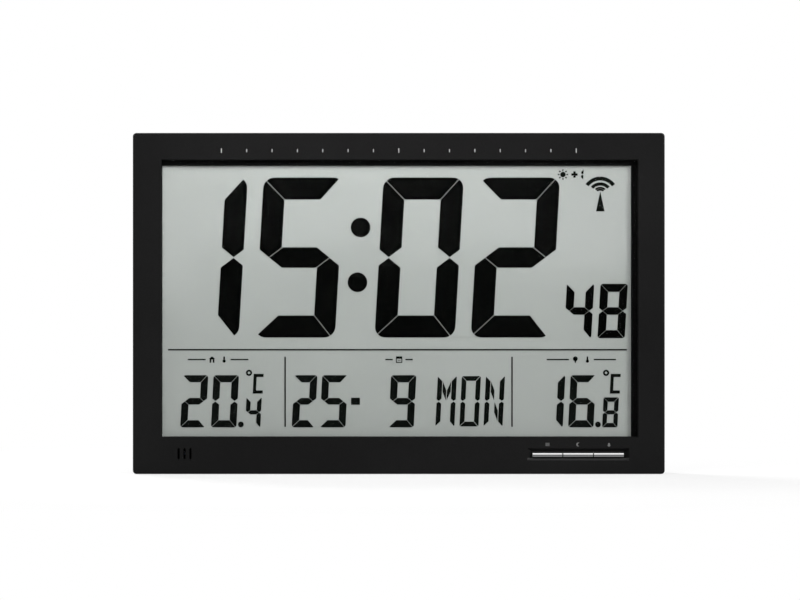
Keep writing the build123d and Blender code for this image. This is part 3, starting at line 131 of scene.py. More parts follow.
class Bench(Graph):
    """Lays out the nodes of one material round its Principled shader."""

    wave_rate: ClassVar[float] = 20.0
    mix_inputs: ClassVar[tuple[int, int]] = (6, 7)
    mix_output: ClassVar[int] = 2

    def __init__(self, name: str) -> None:
        """Starts a material of that name, which reads Object coordinates."""
        self.material = bpy.data.materials.new(name)
        self.material.use_nodes = True
        super().__init__(self.material.node_tree)
        self.shader = self.tree.nodes["Principled BSDF"]
        self.place: Socket = self.add("ShaderNodeTexCoord").outputs["Object"]

    def dress(self, inputs: dict[str, Any]) -> None:
        """Feeds the material's own shader."""
        self.feed(self.shader, inputs)

    def along(self) -> tuple[Socket, Socket, Socket]:
        """Returns the X, Y and Z of a point as three sockets."""
        parts = self.add("ShaderNodeSeparateXYZ", {0: self.place}).outputs
        return parts[0], parts[1], parts[2]

    def stretched(self, stretch: Triple) -> Socket:
        """Returns Object coordinates that are multiplied along each axis."""
        return self.add("ShaderNodeMapping", {"Vector": self.place, "Scale": stretch}).outputs[0]

    def noise(self, scale: float, detail: float = 2.0, stretch: Triple = EVEN) -> Socket:
        """Soft noise through the piece.

        Args:
            scale: lumps per metre.
            detail: how many finer layers are added.
            stretch: how much closer together the lumps are along each axis.

        Returns:
            A factor that stays mostly within NOISE_RANGE.
        """
        place = self.place if stretch == EVEN else self.stretched(stretch)
        return self.add("ShaderNodeTexNoise", {"Vector": place, "Scale": scale, "Detail": detail}).outputs[0]

    def pores(self, scale: float) -> Socket:
        """Returns the distance to the nearest of many scattered points, as a share of their spacing."""
        return self.add("ShaderNodeTexVoronoi", {"Vector": self.place, "Scale": scale}).outputs["Distance"]

    def waves(self, pitch: float, axis: str) -> Socket:
        """Returns smooth ridges of that pitch along one axis, from 0 to 1.

        The texture's phase is its scale times its own rate times the place, in radians.
        """
        turns = math.tau / (self.wave_rate * pitch)
        wave = self.add("ShaderNodeTexWave", {"Vector": self.place, "Scale": turns}, bands_direction=axis)
        return wave.outputs["Fac"]

    def weigh(self, first: Socket, last: Socket, share: float) -> Socket:
        """Returns the sum of two factors, with that share of the first and the rest of the last."""
        return self.sum("MULTIPLY_ADD", first, share, self.sum("MULTIPLY", last, 1.0 - share))

    def spread(self, factor: Socket, result: Pair, source: Pair = NOISE_RANGE) -> Socket:
        """Carries a factor from one range to another.

        Args:
            factor: the factor to carry over.
            result: the two ends of the new range.
            source: the two ends of the range that the factor has.

        Returns:
            The factor in its new range, held between its ends.
        """
        ends = dict(zip(("From Min", "From Max", "To Min", "To Max"), (*source, *result)))
        return self.add("ShaderNodeMapRange", {"Value": factor, **ends}).outputs[0]

    def shade(self, factor: Socket, first: Colour | Socket, last: Colour | Socket) -> Socket:
        """Returns a colour between two, first at factor 0 and last at 1."""
        mix = self.add("ShaderNodeMix", {0: factor}, data_type="RGBA")
        for number, colour in zip(self.mix_inputs, (first, last)):
            self.feed(mix, {number: colour if isinstance(colour, Socket) else (*colour, 1.0)})
        return mix.outputs[self.mix_output]

    def bands(self, factor: Socket, stops: Sequence[tuple[float, Colour]], join: Join = Join.SHARP) -> Socket:
        """Cuts a factor into bands of colour.

        Args:
            factor: what the bands follow, from 0 to 1.
            stops: where each band starts, and its colour.
            join: how one band goes over into the next.

        Returns:
            The colour of the band.
        """
        ramp = self.add("ShaderNodeValToRGB", {0: factor})
        ramp.color_ramp.interpolation = join.value
        marks = ramp.color_ramp.elements
        while len(marks) < len(stops):
            marks.new(1.0)
        for mark, (start, colour) in zip(marks, stops):
            mark.position = start
            mark.color = (*colour, 1.0)
        return ramp.outputs[0]

    def emboss(self, height: Socket, depth: float, strength: float = 1.0) -> None:
        """Presses a height map into the surface.

        Args:
            height: the map, from 0 to 1.
            depth: how deep a height of 1 is, in metres.
            strength: how much of the slope shows.
        """
        bump = self.add("ShaderNodeBump", {"Height": height, "Distance": depth, "Strength": strength})
        self.dress({"Normal": bump.outputs[0]})


@dataclass(frozen=True)
class Finish:
    """A surface finish, which becomes one material."""

    name: str

    def material(self) -> bpy.types.Material:
        """Returns the finish's material, made the first time it is asked for."""
        made = bpy.data.materials.get(self.name)
        if made is None:
            bench = Bench(self.name)
            self.lay(bench)
            made = bench.material
        return made

    def lay(self, bench: Bench) -> None:
        """Lays out the finish's nodes."""
        raise NotImplementedError


@dataclass(frozen=True)
class MouldedPlastic(Finish):
    """Moulded plastic: slow mottling from the melt's flow and a fine grain eroded in the mould."""

    dark: Colour
    pale: Colour
    rough: Pair = (0.5, 0.62)
    gloss: float = 0.3
    flow: float = 14.0
    grain: float = 1500.0
    depth: float = 0.00003
    detail: float = 3.0
    grain_share: float = 0.5

    def lay(self, bench: Bench) -> None:
        """Lays out grain on colour, roughness and height, and flow on colour."""
        grain = bench.noise(self.grain, self.detail)
        flow = bench.noise(self.flow, self.detail)
        both = bench.weigh(grain, flow, self.grain_share)
        bench.dress({
            "Base Color": bench.shade(bench.spread(both, (0.0, 1.0)), self.dark, self.pale),
            "Roughness": bench.spread(grain, self.rough),
            "Specular IOR Level": self.gloss,
        })
        bench.emboss(grain, self.depth)


@dataclass(frozen=True)
class ReflectionPaintedPlastic(MouldedPlastic):
    """Moulded plastic with a painted reflection: a strip painted paler, strongest along its upper edge, for
    light that the bright keys throw onto it.
    """

    left: float = 0.0
    right: float = 0.0
    low: float = 0.0
    high: float = 0.0
    front: float = 0.0
    # painted reflection: this pale tone stands in for light from the keys on the recess's lower slope
    painted_reflection: Colour = (0.06, 0.06, 0.0605)
    least: float = 0.25

    def lay(self, bench: Bench) -> None:
        """Lays out the plastic, and the painted reflection over it by height, behind the front face and
        between the ends.
        """
        super().lay(bench)
        x, y, z = bench.along()
        rise = bench.spread(z, (self.least, 1.0), (self.low, self.high))
        tests = (("GREATER_THAN", x, self.left), ("LESS_THAN", x, self.right), ("GREATER_THAN", z, self.low),
                 ("LESS_THAN", z, self.high), ("GREATER_THAN", y, self.front))
        for test, term, limit in tests:
            rise = bench.sum("MULTIPLY", rise, bench.sum(test, term, limit))
        plain = bench.shader.inputs["Base Color"].links[0].from_socket
        bench.dress({"Base Color": bench.shade(rise, plain, self.painted_reflection)})


@dataclass(frozen=True)
class ClearSheet(Finish):
    """Clear sheet or glass, which shows only as a faint gloss."""

    tint: Colour
    cover: float
    gloss: float = 0.2
    rough: float = 0.04

    def lay(self, bench: Bench) -> None:
        """Sets one plain shader with a low alpha."""
        bench.dress({
            "Base Color": (*self.tint, 1.0),
            "Alpha": self.cover,
            "Roughness": self.rough,
            "Specular IOR Level": self.gloss,
        })


@dataclass(frozen=True)
class PolariserField(Finish):
    """Grey-green reflective field of the display: cloudy film with a fine sparkle and a film's gloss."""

    dark: Colour
    pale: Colour
    cloud: float = 9.0
    sparkle: float = 2400.0
    sparkle_detail: float = 1.0
    cloud_share: float = 0.6
    rough: Pair = (0.06, 0.09)
    gloss: float = 0.5

    def lay(self, bench: Bench) -> None:
        """Lays out clouds and sparkle on the colour, and sparkle on the roughness."""
        cloud = bench.noise(self.cloud)
        sparkle = bench.noise(self.sparkle, self.sparkle_detail)
        both = bench.weigh(cloud, sparkle, self.cloud_share)
        bench.dress({
            "Base Color": bench.shade(bench.spread(both, (0.0, 1.0)), self.dark, self.pale),
            "Roughness": bench.spread(sparkle, self.rough),
            "Specular IOR Level": self.gloss,
        })


@dataclass(frozen=True)
class PlatedMetal(Finish):
    """Plated metal: bright, with faint lines along the way that it was drawn or polished."""

    dark: Colour
    pale: Colour
    rough: Pair
    lines: float = 400.0
    stretch: Triple = (0.05, 1.0, 1.0)
    detail: float = 4.0
    depth: float = 0.000002

    def lay(self, bench: Bench) -> None:
        """Lays out drawn lines on colour, roughness and height."""
        lines = bench.noise(self.lines, self.detail, self.stretch)
        bench.dress({
            "Base Color": bench.shade(bench.spread(lines, (0.0, 1.0)), self.dark, self.pale),
            "Roughness": bench.spread(lines, self.rough),
            "Metallic": 1.0,
        })
        bench.emboss(lines, self.depth)


@dataclass(frozen=True)
class KeyChrome(Finish):
    """Chrome of the keys with painted reflections by height: a painted highlight above the crest, painted
    shade below it, and a paler lower rim that is painted reflection too.
    """

    low: float
    high: float
    tint: Colour = (1.0, 1.0, 1.01)
    # (share of the key's height, tone): painted highlight and painted shade standing in for what the chrome
    # mirrors
    reflection_tones: tuple[Pair, ...] = (
        (0.0, 0.02), (0.11, 0.02), (0.15, 0.32), (0.27, 0.32), (0.32, 0.07), (0.44, 0.07),
        (0.48, 0.34), (0.6, 0.5), (0.65, 1.0), (0.86, 1.0), (0.9, 0.1), (1.0, 0.03),
    )
    rough: Pair = (0.04, 0.1)
    lines: float = 400.0
    stretch: Triple = (0.05, 1.0, 1.0)
    detail: float = 4.0
    depth: float = 0.000002

    def lay(self, bench: Bench) -> None:
        """Lays out the painted reflection bands by height and polishing lines on roughness and relief."""
        _, _, z = bench.along()
        share = bench.spread(z, (0.0, 1.0), (self.low, self.high))
        stops = [(start, tuple(tone * part for part in self.tint)) for start, tone in self.reflection_tones]
        lines = bench.noise(self.lines, self.detail, self.stretch)
        bench.dress({
            "Base Color": bench.bands(share, stops, Join.SOFT),
            "Roughness": bench.spread(lines, self.rough),
            "Metallic": 1.0,
        })
        bench.emboss(lines, self.depth)


@dataclass(frozen=True)
class SolderMask(Finish):
    """Circuit board: lacquer over copper tracks, with tinned pads."""

    lacquer: Colour = (0.012, 0.09, 0.03)
    track: Colour = (0.025, 0.17, 0.06)
    tin: Colour = (0.55, 0.55, 0.52)
    track_scale: float = 130.0
    track_share: float = 0.06
    pad_scale: float = 180.0
    pad_share: float = 0.16
    pad_shine: float = 0.9
    haze: float = 600.0
    rough: Pair = (0.28, 0.4)
    gloss: float = 0.5
    depth: float = 0.00004

    def lay(self, bench: Bench) -> None:
        """Lays out tracks as the joints of a brick pattern and pads as scattered dots."""
        x, _, z = bench.along()
        sheet = bench.add("ShaderNodeCombineXYZ", {0: x, 1: z}).outputs[0]
        layout = {"Vector": sheet, "Scale": self.track_scale, "Mortar Size": self.track_share}
        tracks = bench.add("ShaderNodeTexBrick", layout).outputs["Fac"]
        pads = bench.sum("LESS_THAN", bench.pores(self.pad_scale), self.pad_share)
        ground = bench.shade(tracks, self.lacquer, self.track)
        bench.dress({
            "Base Color": bench.shade(pads, ground, self.tin),
            "Roughness": bench.spread(bench.noise(self.haze), self.rough),
            "Metallic": bench.sum("MULTIPLY", pads, self.pad_shine),
            "Specular IOR Level": self.gloss,
        })
        bench.emboss(bench.sum("ADD", tracks, pads), self.depth)


@dataclass(frozen=True)
class CellFoam(Finish):
    """Foam with burst pores on its skin."""

    dark: Colour
    pale: Colour
    pore: float = 1400.0
    pore_reach: Pair = (0.0, 0.8)
    haze: float = 500.0
    rough: Pair = (0.85, 0.98)
    gloss: float = 0.08
    depth: float = 0.0002

    def lay(self, bench: Bench) -> None:
        """Lays out pores on colour and height."""
        pores = bench.pores(self.pore)
        bench.dress({
            "Base Color": bench.shade(bench.spread(pores, (0.0, 1.0), self.pore_reach), self.dark, self.pale),
            "Roughness": bench.spread(bench.noise(self.haze), self.rough),
            "Specular IOR Level": self.gloss,
        })
        bench.emboss(pores, self.depth)


@dataclass(frozen=True)
class RidgedSkin(Finish):
    """A skin with even ridges along one axis: a winding, a flat cable or a layered strip."""

    groove: Colour
    crest: Colour
    pitch: float
    axis: str = "X"
    metal: float = 0.0
    haze: float = 300.0
    rough: Pair = (0.3, 0.45)
    depth_share: float = 0.25

    def lay(self, bench: Bench) -> None:
        """Lays out ridges on colour and height, and uneven lacquer on the roughness."""
        ridges = bench.waves(self.pitch, self.axis)
        bench.dress({
            "Base Color": bench.shade(ridges, self.groove, self.crest),
            "Roughness": bench.spread(bench.noise(self.haze), self.rough),
            "Metallic": self.metal,
        })
        bench.emboss(ridges, self.pitch * self.depth_share)


@dataclass(frozen=True)
class CellSleeve(Finish):
    """Unmarked sleeve of the battery cells: a copper-coloured band at the positive end, steel at both.

    The cells lie along X in rows up Z, and every other row points the other way.
    """

    left: float
    right: float
    low: float
    pitch: float
    length: float
    jacket: Colour = (0.018, 0.02, 0.024)
    band: Colour = (0.5, 0.22, 0.07)
    steel: Colour = (0.6, 0.6, 0.58)
    starts: Triple = (0.025, 0.3, 0.975)
    band_shine: float = 0.7
    haze: float = 260.0
    detail: float = 3.0
    rough: Pair = (0.22, 0.38)
    dents: float = 900.0
    depth: float = 0.000004

    def lay(self, bench: Bench) -> None:
        """Lays out the bands by the distance from each cell's positive shoulder."""
        x, _, z = bench.along()
        row = bench.sum("FLOOR", bench.sum("DIVIDE", bench.sum("SUBTRACT", z, self.low), self.pitch))
        odd = bench.sum("FLOORED_MODULO", row, 2.0)
        rightward = bench.sum("SUBTRACT", x, self.left)
        leftward = bench.sum("SUBTRACT", self.right, x)
        swing = bench.sum("MULTIPLY", odd, bench.sum("SUBTRACT", leftward, rightward))
        share = bench.sum("DIVIDE", bench.sum("ADD", rightward, swing), self.length)
        starts = (0.0, *self.starts)
        coats = (self.steel, self.band, self.jacket, self.steel)
        shines = (EVEN, (self.band_shine,) * 3, (0.0,) * 3, EVEN)
        bench.dress({
            "Base Color": bench.bands(share, list(zip(starts, coats))),
            "Metallic": bench.bands(share, list(zip(starts, shines))),
            "Roughness": bench.spread(bench.noise(self.haze, self.detail), self.rough),
        })
        bench.emboss(bench.noise(self.dents), self.depth)


@dataclass(frozen=True)
class PrintInk(Finish):
    """Pad-printed ink, a little thin in places."""

    thin: Colour
    full: Colour
    speck: float = 5000.0
    rough: Pair = (0.7, 0.5)
    gloss: float = 0.2

    def lay(self, bench: Bench) -> None:
        """Lays out the ink's cover on colour and roughness."""
        cover = bench.noise(self.speck)
        bench.dress({
            "Base Color": bench.shade(bench.spread(cover, (0.0, 1.0)), self.thin, self.full),
            "Roughness": bench.spread(cover, self.rough),
            "Specular IOR Level": self.gloss,
        })


# Case gives this plastic a painted reflection: a paler strip on the lower slope of the key recess
BEZEL = ReflectionPaintedPlastic("satin bezel with painted reflection", (0.0062, 0.0062, 0.0063), (0.0112, 0.0112, 0.0113), gloss=0.05)
# painted light: the same black plastic as the bezel, painted paler so that the rear reads as lit; the coarser
# grain is real
COVER_WITH_PAINTED_LIGHT = MouldedPlastic(
    "grained cover painted lighter", (0.012, 0.012, 0.0125), (0.026, 0.026, 0.0265), (0.55, 0.75), 0.1,
    grain=900.0, depth=0.00008,
)
WHITE_PLASTIC = MouldedPlastic("white frame", (0.6, 0.6, 0.57), (0.7, 0.7, 0.67), (0.4, 0.5), grain=700.0)
BLACK_PLASTIC = MouldedPlastic(
    "black component", (0.01, 0.01, 0.011), (0.02, 0.02, 0.021), (0.35, 0.5), grain=2500.0
)
RUBBER = MouldedPlastic(
    "foot rubber", (0.008, 0.008, 0.008), (0.02, 0.02, 0.02), (0.75, 0.9), 0.2, grain=1100.0
)
BEAD = MouldedPlastic(
    "sensor bead", (0.01, 0.016, 0.03), (0.025, 0.035, 0.06), (0.15, 0.25), 0.5, grain=800.0
)
FERRITE = MouldedPlastic(
    "sintered ferrite", (0.012, 0.012, 0.013), (0.05, 0.05, 0.052), (0.5, 0.8), grain=3000.0
)
SEAL = MouldedPlastic("epoxy line", (0.28, 0.29, 0.27), (0.36, 0.37, 0.35), (0.3, 0.4))
RED_LEAD = MouldedPlastic(
    "red insulation", (0.3, 0.012, 0.01), (0.42, 0.02, 0.016), (0.3, 0.4), 0.5, grain=600.0
)
BLACK_LEAD = MouldedPlastic("black insulation", (0.008, 0.008, 0.008), (0.016, 0.016, 0.016), (0.3, 0.4), 0.5)
CAN_SLEEVE = MouldedPlastic("capacitor sleeve", (0.01, 0.014, 0.04), (0.02, 0.026, 0.065), (0.25, 0.35), 0.5)
WINDOW = ClearSheet("clear window", (0.0, 0.0, 0.0), 0.02)
GLASS = ClearSheet("display glass", (0.0, 0.0, 0.0), 0.015)
FIELD = PolariserField("display field", (0.398, 0.429, 0.405), (0.455, 0.487, 0.462))
DENSE_INK = MouldedPlastic(
    "dense crystal", (0.0012, 0.0014, 0.0012), (0.0032, 0.0036, 0.0032), (0.6, 0.8), 0.0
)
THIN_INK = MouldedPlastic("thin crystal", (0.004, 0.0052, 0.0042), (0.0085, 0.0105, 0.009), (0.6, 0.8), 0.0)
STEEL = PlatedMetal("zinc-plated steel", (0.46, 0.46, 0.45), (0.66, 0.66, 0.64), (0.24, 0.42), 900.0, EVEN)
FOIL = PlatedMetal("reflector foil", (0.6, 0.61, 0.6), (0.75, 0.76, 0.75), (0.35, 0.5))
BRASS = PlatedMetal("sounder brass", (0.55, 0.36, 0.12), (0.68, 0.47, 0.18), (0.25, 0.4), 600.0, EVEN)
COPPER = PlatedMetal("antenna wire", (0.5, 0.22, 0.1), (0.68, 0.33, 0.17), (0.2, 0.32), 900.0, EVEN)
BOARD = SolderMask("solder mask")
# painted shade: black mask with near-black pads, so that the sensor board seen through the vent slots reads
# as shade
BLACK_BOARD_AND_SHADE = SolderMask(
    "black solder mask and painted shade", (0.0012, 0.0012, 0.0012), (0.002, 0.002, 0.002), (0.006, 0.006, 0.006), gloss=0.02
)
# near-black foam; at the wide right and upper reveals it is painted shade
GASKET_AND_SHADE = CellFoam("gasket foam and painted shade", (0.0016, 0.0016, 0.0016), (0.0045, 0.0045, 0.0045))
DOOR_FOAM = CellFoam("door foam", (0.012, 0.012, 0.013), (0.045, 0.045, 0.047))
WINDING = RidgedSkin("enamelled winding", (0.2, 0.07, 0.025), (0.62, 0.29, 0.12), 0.0003, metal=0.8)
RIBBON = RidgedSkin("flat cable", (0.25, 0.25, 0.26), (0.42, 0.42, 0.44), 0.00127)
LAYERS = RidgedSkin("layered elastomer", (0.01, 0.01, 0.01), (0.3, 0.24, 0.23), 0.0004, rough=(0.6, 0.8))
TITLE_INK = PrintInk("title ink", (0.36, 0.36, 0.36), (0.52, 0.52, 0.52))
LABEL_INK = PrintInk("label ink", (0.14, 0.14, 0.14), (0.24, 0.24, 0.24))


@dataclass(frozen=True)
class Patch:
    """A grid of points, rows by columns by XYZ, whose columns may run round to their start."""

    points: np.ndarray
    round_columns: bool = True
    round_rows: bool = False

    def quads(self) -> np.ndarray:
        """Returns the corner numbers of the quads between neighbouring rows and columns."""
        rows, columns = self.points.shape[:2]
        row = np.arange(rows if self.round_rows else rows - 1)
        column = np.arange(columns if self.round_columns else columns - 1)
        row, column = np.meshgrid(row, column, indexing="ij")
        after = (row + 1) % rows
        beside = (column + 1) % columns
        pairs = ((row, column), (row, beside), (after, beside), (after, column))
        return np.stack([r * columns + c for r, c in pairs], -1).reshape(-1, 4)


def on_face(flat: np.ndarray, lift: np.ndarray, level: float, side: Side) -> np.ndarray:
    """Sets points drawn on a face of the case into space.

    Args:
        flat: X and Z of each point, in its last axis.
        lift: how far each point stands out of the face.
        level: the Y of the face.
        side: which face it is.

    Returns:
        The points as XYZ: X, then the level plus the lift taken outwards, then Z.
    """
    depth = np.broadcast_to(level + side.value * lift, flat.shape[:-1])
    return np.stack([flat[..., 0], depth, flat[..., 1]], -1)


def oval(half: Pair, power: float, count: int) -> np.ndarray:
    """The outline of an oval or a rounded rectangle.

    Each coordinate is its half size times the cosine or sine of the angle, raised to 2 over the power with
    its sign kept: power 2 is an ellipse, and a larger one is squarer.

    Args:
        half: half the width and half the height.
        power: how square it is.
        count: how many points it has.

    Returns:
        The points as pairs, counted round once.
    """
    angle = np.linspace(0.0, math.tau, count, endpoint=False)
    turn = np.stack([np.cos(angle), np.sin(angle)], -1)
    return np.array(half) * np.sign(turn) * np.abs(turn) ** (2.0 / power)


@dataclass(frozen=True)
class MarkStyle:
    """How the marks of one group stand on their face."""

    level: float
    side: Side
    lift: float
    sink: float = 0.00003
    edge_share: float = 0.9
    outline_points: int = 24

    def dome(self, centre: Pair, half: Pair, power: float = 6.0) -> Patch:
        """A flat-topped mark with an oval outline.

        The outline shrinks to its centre below, stands up at full size to its edge, and shrinks to the
        centre again on top: rows of (share of the outline, height).

        Args:
            centre: X and Z of the middle.
            half: half the width and half the height.
            power: how square the outline is.

        Returns:
            The closed patch.
        """
        outline = oval(half, power, self.outline_points)
        share = np.array([0.0, 1.0, 1.0, self.edge_share, 0.0])
        height = np.array([-self.sink, -self.sink, self.lift / 2.0, self.lift, self.lift])
        flat = np.array(centre) + share[:, None, None] * outline
        return Patch(on_face(flat, height[:, None], self.level, self.side))

    def band(self, first: np.ndarray, last: np.ndarray) -> Patch:
        """A flat-topped mark between two lines.

        At each step along the lines its section is a rectangle from one line to the other, and each end is
        drawn together to one point.

        Args:
            first: points of one line, as X and Z.
            last: as many points of the other line.

        Returns:
            The closed patch.
        """
        flat = np.stack([first, first, last, last], 1)
        height = np.array([-self.sink, self.lift, self.lift, -self.sink])
        points = on_face(flat, height[None, :], self.level, self.side)
        ends = [np.repeat(points[end].mean(0)[None, None], 4, 1) for end in (0, -1)]
        return Patch(np.concatenate([ends[0], points, ends[1]]))


def ring(box: Sequence[float], out: float) -> np.ndarray:
    """The four corners of a rectangle that is let out on every side.

    Args:
        box: its left, right, low and high sides.
        out: how far each side moves outwards.

    Returns:
        Four corners as X and Z, counted round once.
    """
    left, right, low, high = box
    left, right, low, high = left - out, right + out, low - out, high + out
    return np.array([(left, low), (right, low), (right, high), (left, high)])


def raise_piece(name: str, patches: Sequence[Patch], finish: Finish, body: str,
                smooth: bool = False) -> bpy.types.Object:
    """Makes one piece from its patches, welded shut and facing outwards.

    Args:
        name: the piece's name.
        patches: its surfaces.
        finish: its finish.
        body: the body that it rides on.
        smooth: whether its faces are shaded as one curve.

    Returns:
        The piece's object.
    """
    firsts = np.cumsum([0] + [patch.points[..., 0].size for patch in patches])
    points = np.concatenate([patch.points.reshape(-1, 3) for patch in patches])
    quads = np.concatenate([patch.quads() + first for patch, first in zip(patches, firsts)])
    mesh = bpy.data.meshes.new(name)
    mesh.from_pydata(points, [], quads)
    shell = bmesh.new()
    shell.from_mesh(mesh)
    bmesh.ops.remove_doubles(shell, verts=shell.verts, dist=WELD)
    bmesh.ops.recalc_face_normals(shell, faces=shell.faces)
    shell.to_mesh(mesh)
    shell.free()
    mesh.polygons.foreach_set("use_smooth", np.full(len(mesh.polygons), smooth))
    mesh.materials.append(finish.material())
    piece = bpy.data.objects.new(name, mesh)
    bpy.context.scene.collection.objects.link(piece)
    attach(piece, body)
    LOG.info("made %s: %d faces, on %s", name, len(mesh.polygons), body)
    return piece


class SubAssembly:
    """Pieces that belong together, with a finish for each of their CAD nodes."""

    finishes: ClassVar[dict[str, Finish]] = {}

    def fitted_finishes(self) -> dict[str, Finish]:
        """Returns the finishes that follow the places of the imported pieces, by node."""
        return {}

    def dress(self) -> None:
        """Gives each CAD node its finish."""
        for node, finish in {**self.finishes, **self.fitted_finishes()}.items():
            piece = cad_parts[node]
            piece.data.materials.clear()
            piece.data.materials.append(finish.material())
            LOG.info("dressed %s: %s", node, finish.name)

    def build(self) -> None:
        """Makes the pieces that the CAD model leaves to this script."""


def middle(node: str) -> Vector:
    """Returns the middle of a CAD node's box."""
    low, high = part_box(node)
    return (low + high) / 2.0


@dataclass
class Case(SubAssembly):
    """The two shells, their screws, and the row of marks printed across the top."""

    tick_count: int = 15
    tick_span: float = 0.2454
    tick_drop: float = 0.0123
    tick_half: Pair = (0.0003, 0.0011)
    long_tick_half: Pair = (0.0003, 0.0016)
    tick_lift: float = 0.00004
    recess_half: float = 0.0353
    slope_drops: Pair = (0.00395, 0.0021)
    # how far behind the front face the painted reflection begins
    reflection_skin: float = 0.0001

    finishes: ClassVar[dict[str, Finish]] = {
        "rear_cover": COVER_WITH_PAINTED_LIGHT,
        "case_screws": STEEL,
        "reset_button": BLACK_PLASTIC,
    }

    def fitted_finishes(self) -> dict[str, Finish]:
        """Returns the bezel's finish, with a painted reflection on the lower slope of the key recess."""
        key = middle("snooze_button")
        low, high = (key.z - drop for drop in self.slope_drops)
        bezel = replace(
            BEZEL, left=key.x - self.recess_half, right=key.x + self.recess_half, low=low, high=high,
            front=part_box("front_bezel")[0].y + self.reflection_skin,
        )
        return {"front_bezel": bezel}

    def build(self) -> None:
        """Prints evenly spaced ticks, with longer ones at the ends and the middle."""
        low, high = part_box("front_bezel")
        style = MarkStyle(low.y, Side.FRONT, self.tick_lift)
        halves = [self.tick_half] * self.tick_count
        for long_tick in (0, self.tick_count // 2, self.tick_count - 1):
            halves[long_tick] = self.long_tick_half
        across = np.linspace(-self.tick_span / 2.0, self.tick_span / 2.0, self.tick_count)
        ticks = [style.dome((x, high.z - self.tick_drop), half) for x, half in zip(across, halves)]
        raise_piece("bezel_ticks", ticks, TITLE_INK, "case")


@dataclass
class Display(SubAssembly):
    """The window, the display behind it and the foam ring between them; the ring's wide right and upper
    reveals are partly painted shade.
    """

    # left, right, lower and upper reveals: beyond the foam's lap, the extra width at the right and top is
    # painted shade, dark foam where the opening's edge shades the display
    foam_and_shade_reveals: tuple[float, float, float, float] = (0.0034, 0.0076, 0.0032, 0.00694)
    lip_points: int = 9

    finishes: ClassVar[dict[str, Finish]] = {
        "display_window": WINDOW,
        "lcd_front_glass": GLASS,
        "lcd_rear_glass": FIELD,
        "lcd_time_segments": DENSE_INK,
        "lcd_data_segments": THIN_INK,
        "lcd_icon_segments": THIN_INK,
        "lcd_edge_seal": SEAL,
        "lcd_reflector": FOIL,
        "lcd_frame": WHITE_PLASTIC,
        "lcd_frame_screws": STEEL,
        "zebra_strip": LAYERS,
    }

    def build(self) -> None:
        """Makes the foam ring: a strip with a half-round inner lip, carried round a rectangle. Its wide right
        and upper sides are partly painted shade for the opening's edge.
        """
        low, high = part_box("display_gasket")
        left, right, under, over = self.foam_and_shade_reveals
        outer = (low.x, high.x, low.z, high.z)
        inner = (low.x + left, high.x - right, low.z + under, high.z - over)
        radius = (high.y - low.y) / 2.0
        angle = np.linspace(-math.pi / 2.0, math.pi / 2.0, self.lip_points)
        edge = ring(outer, 0.0)
        lip = [ring(inner, radius * (1.0 - math.cos(turn))) for turn in angle]
        depth = np.concatenate([[-radius], radius * np.sin(angle), [radius]])
        flat = np.stack([edge, *lip, edge])
        strip = Patch(on_face(flat, depth[:, None], (low.y + high.y) / 2.0, Side.REAR), round_rows=True)
        foam = raise_piece("display_gasket_foam_and_shade", [strip], GASKET_AND_SHADE, "case")
        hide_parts("display_gasket")


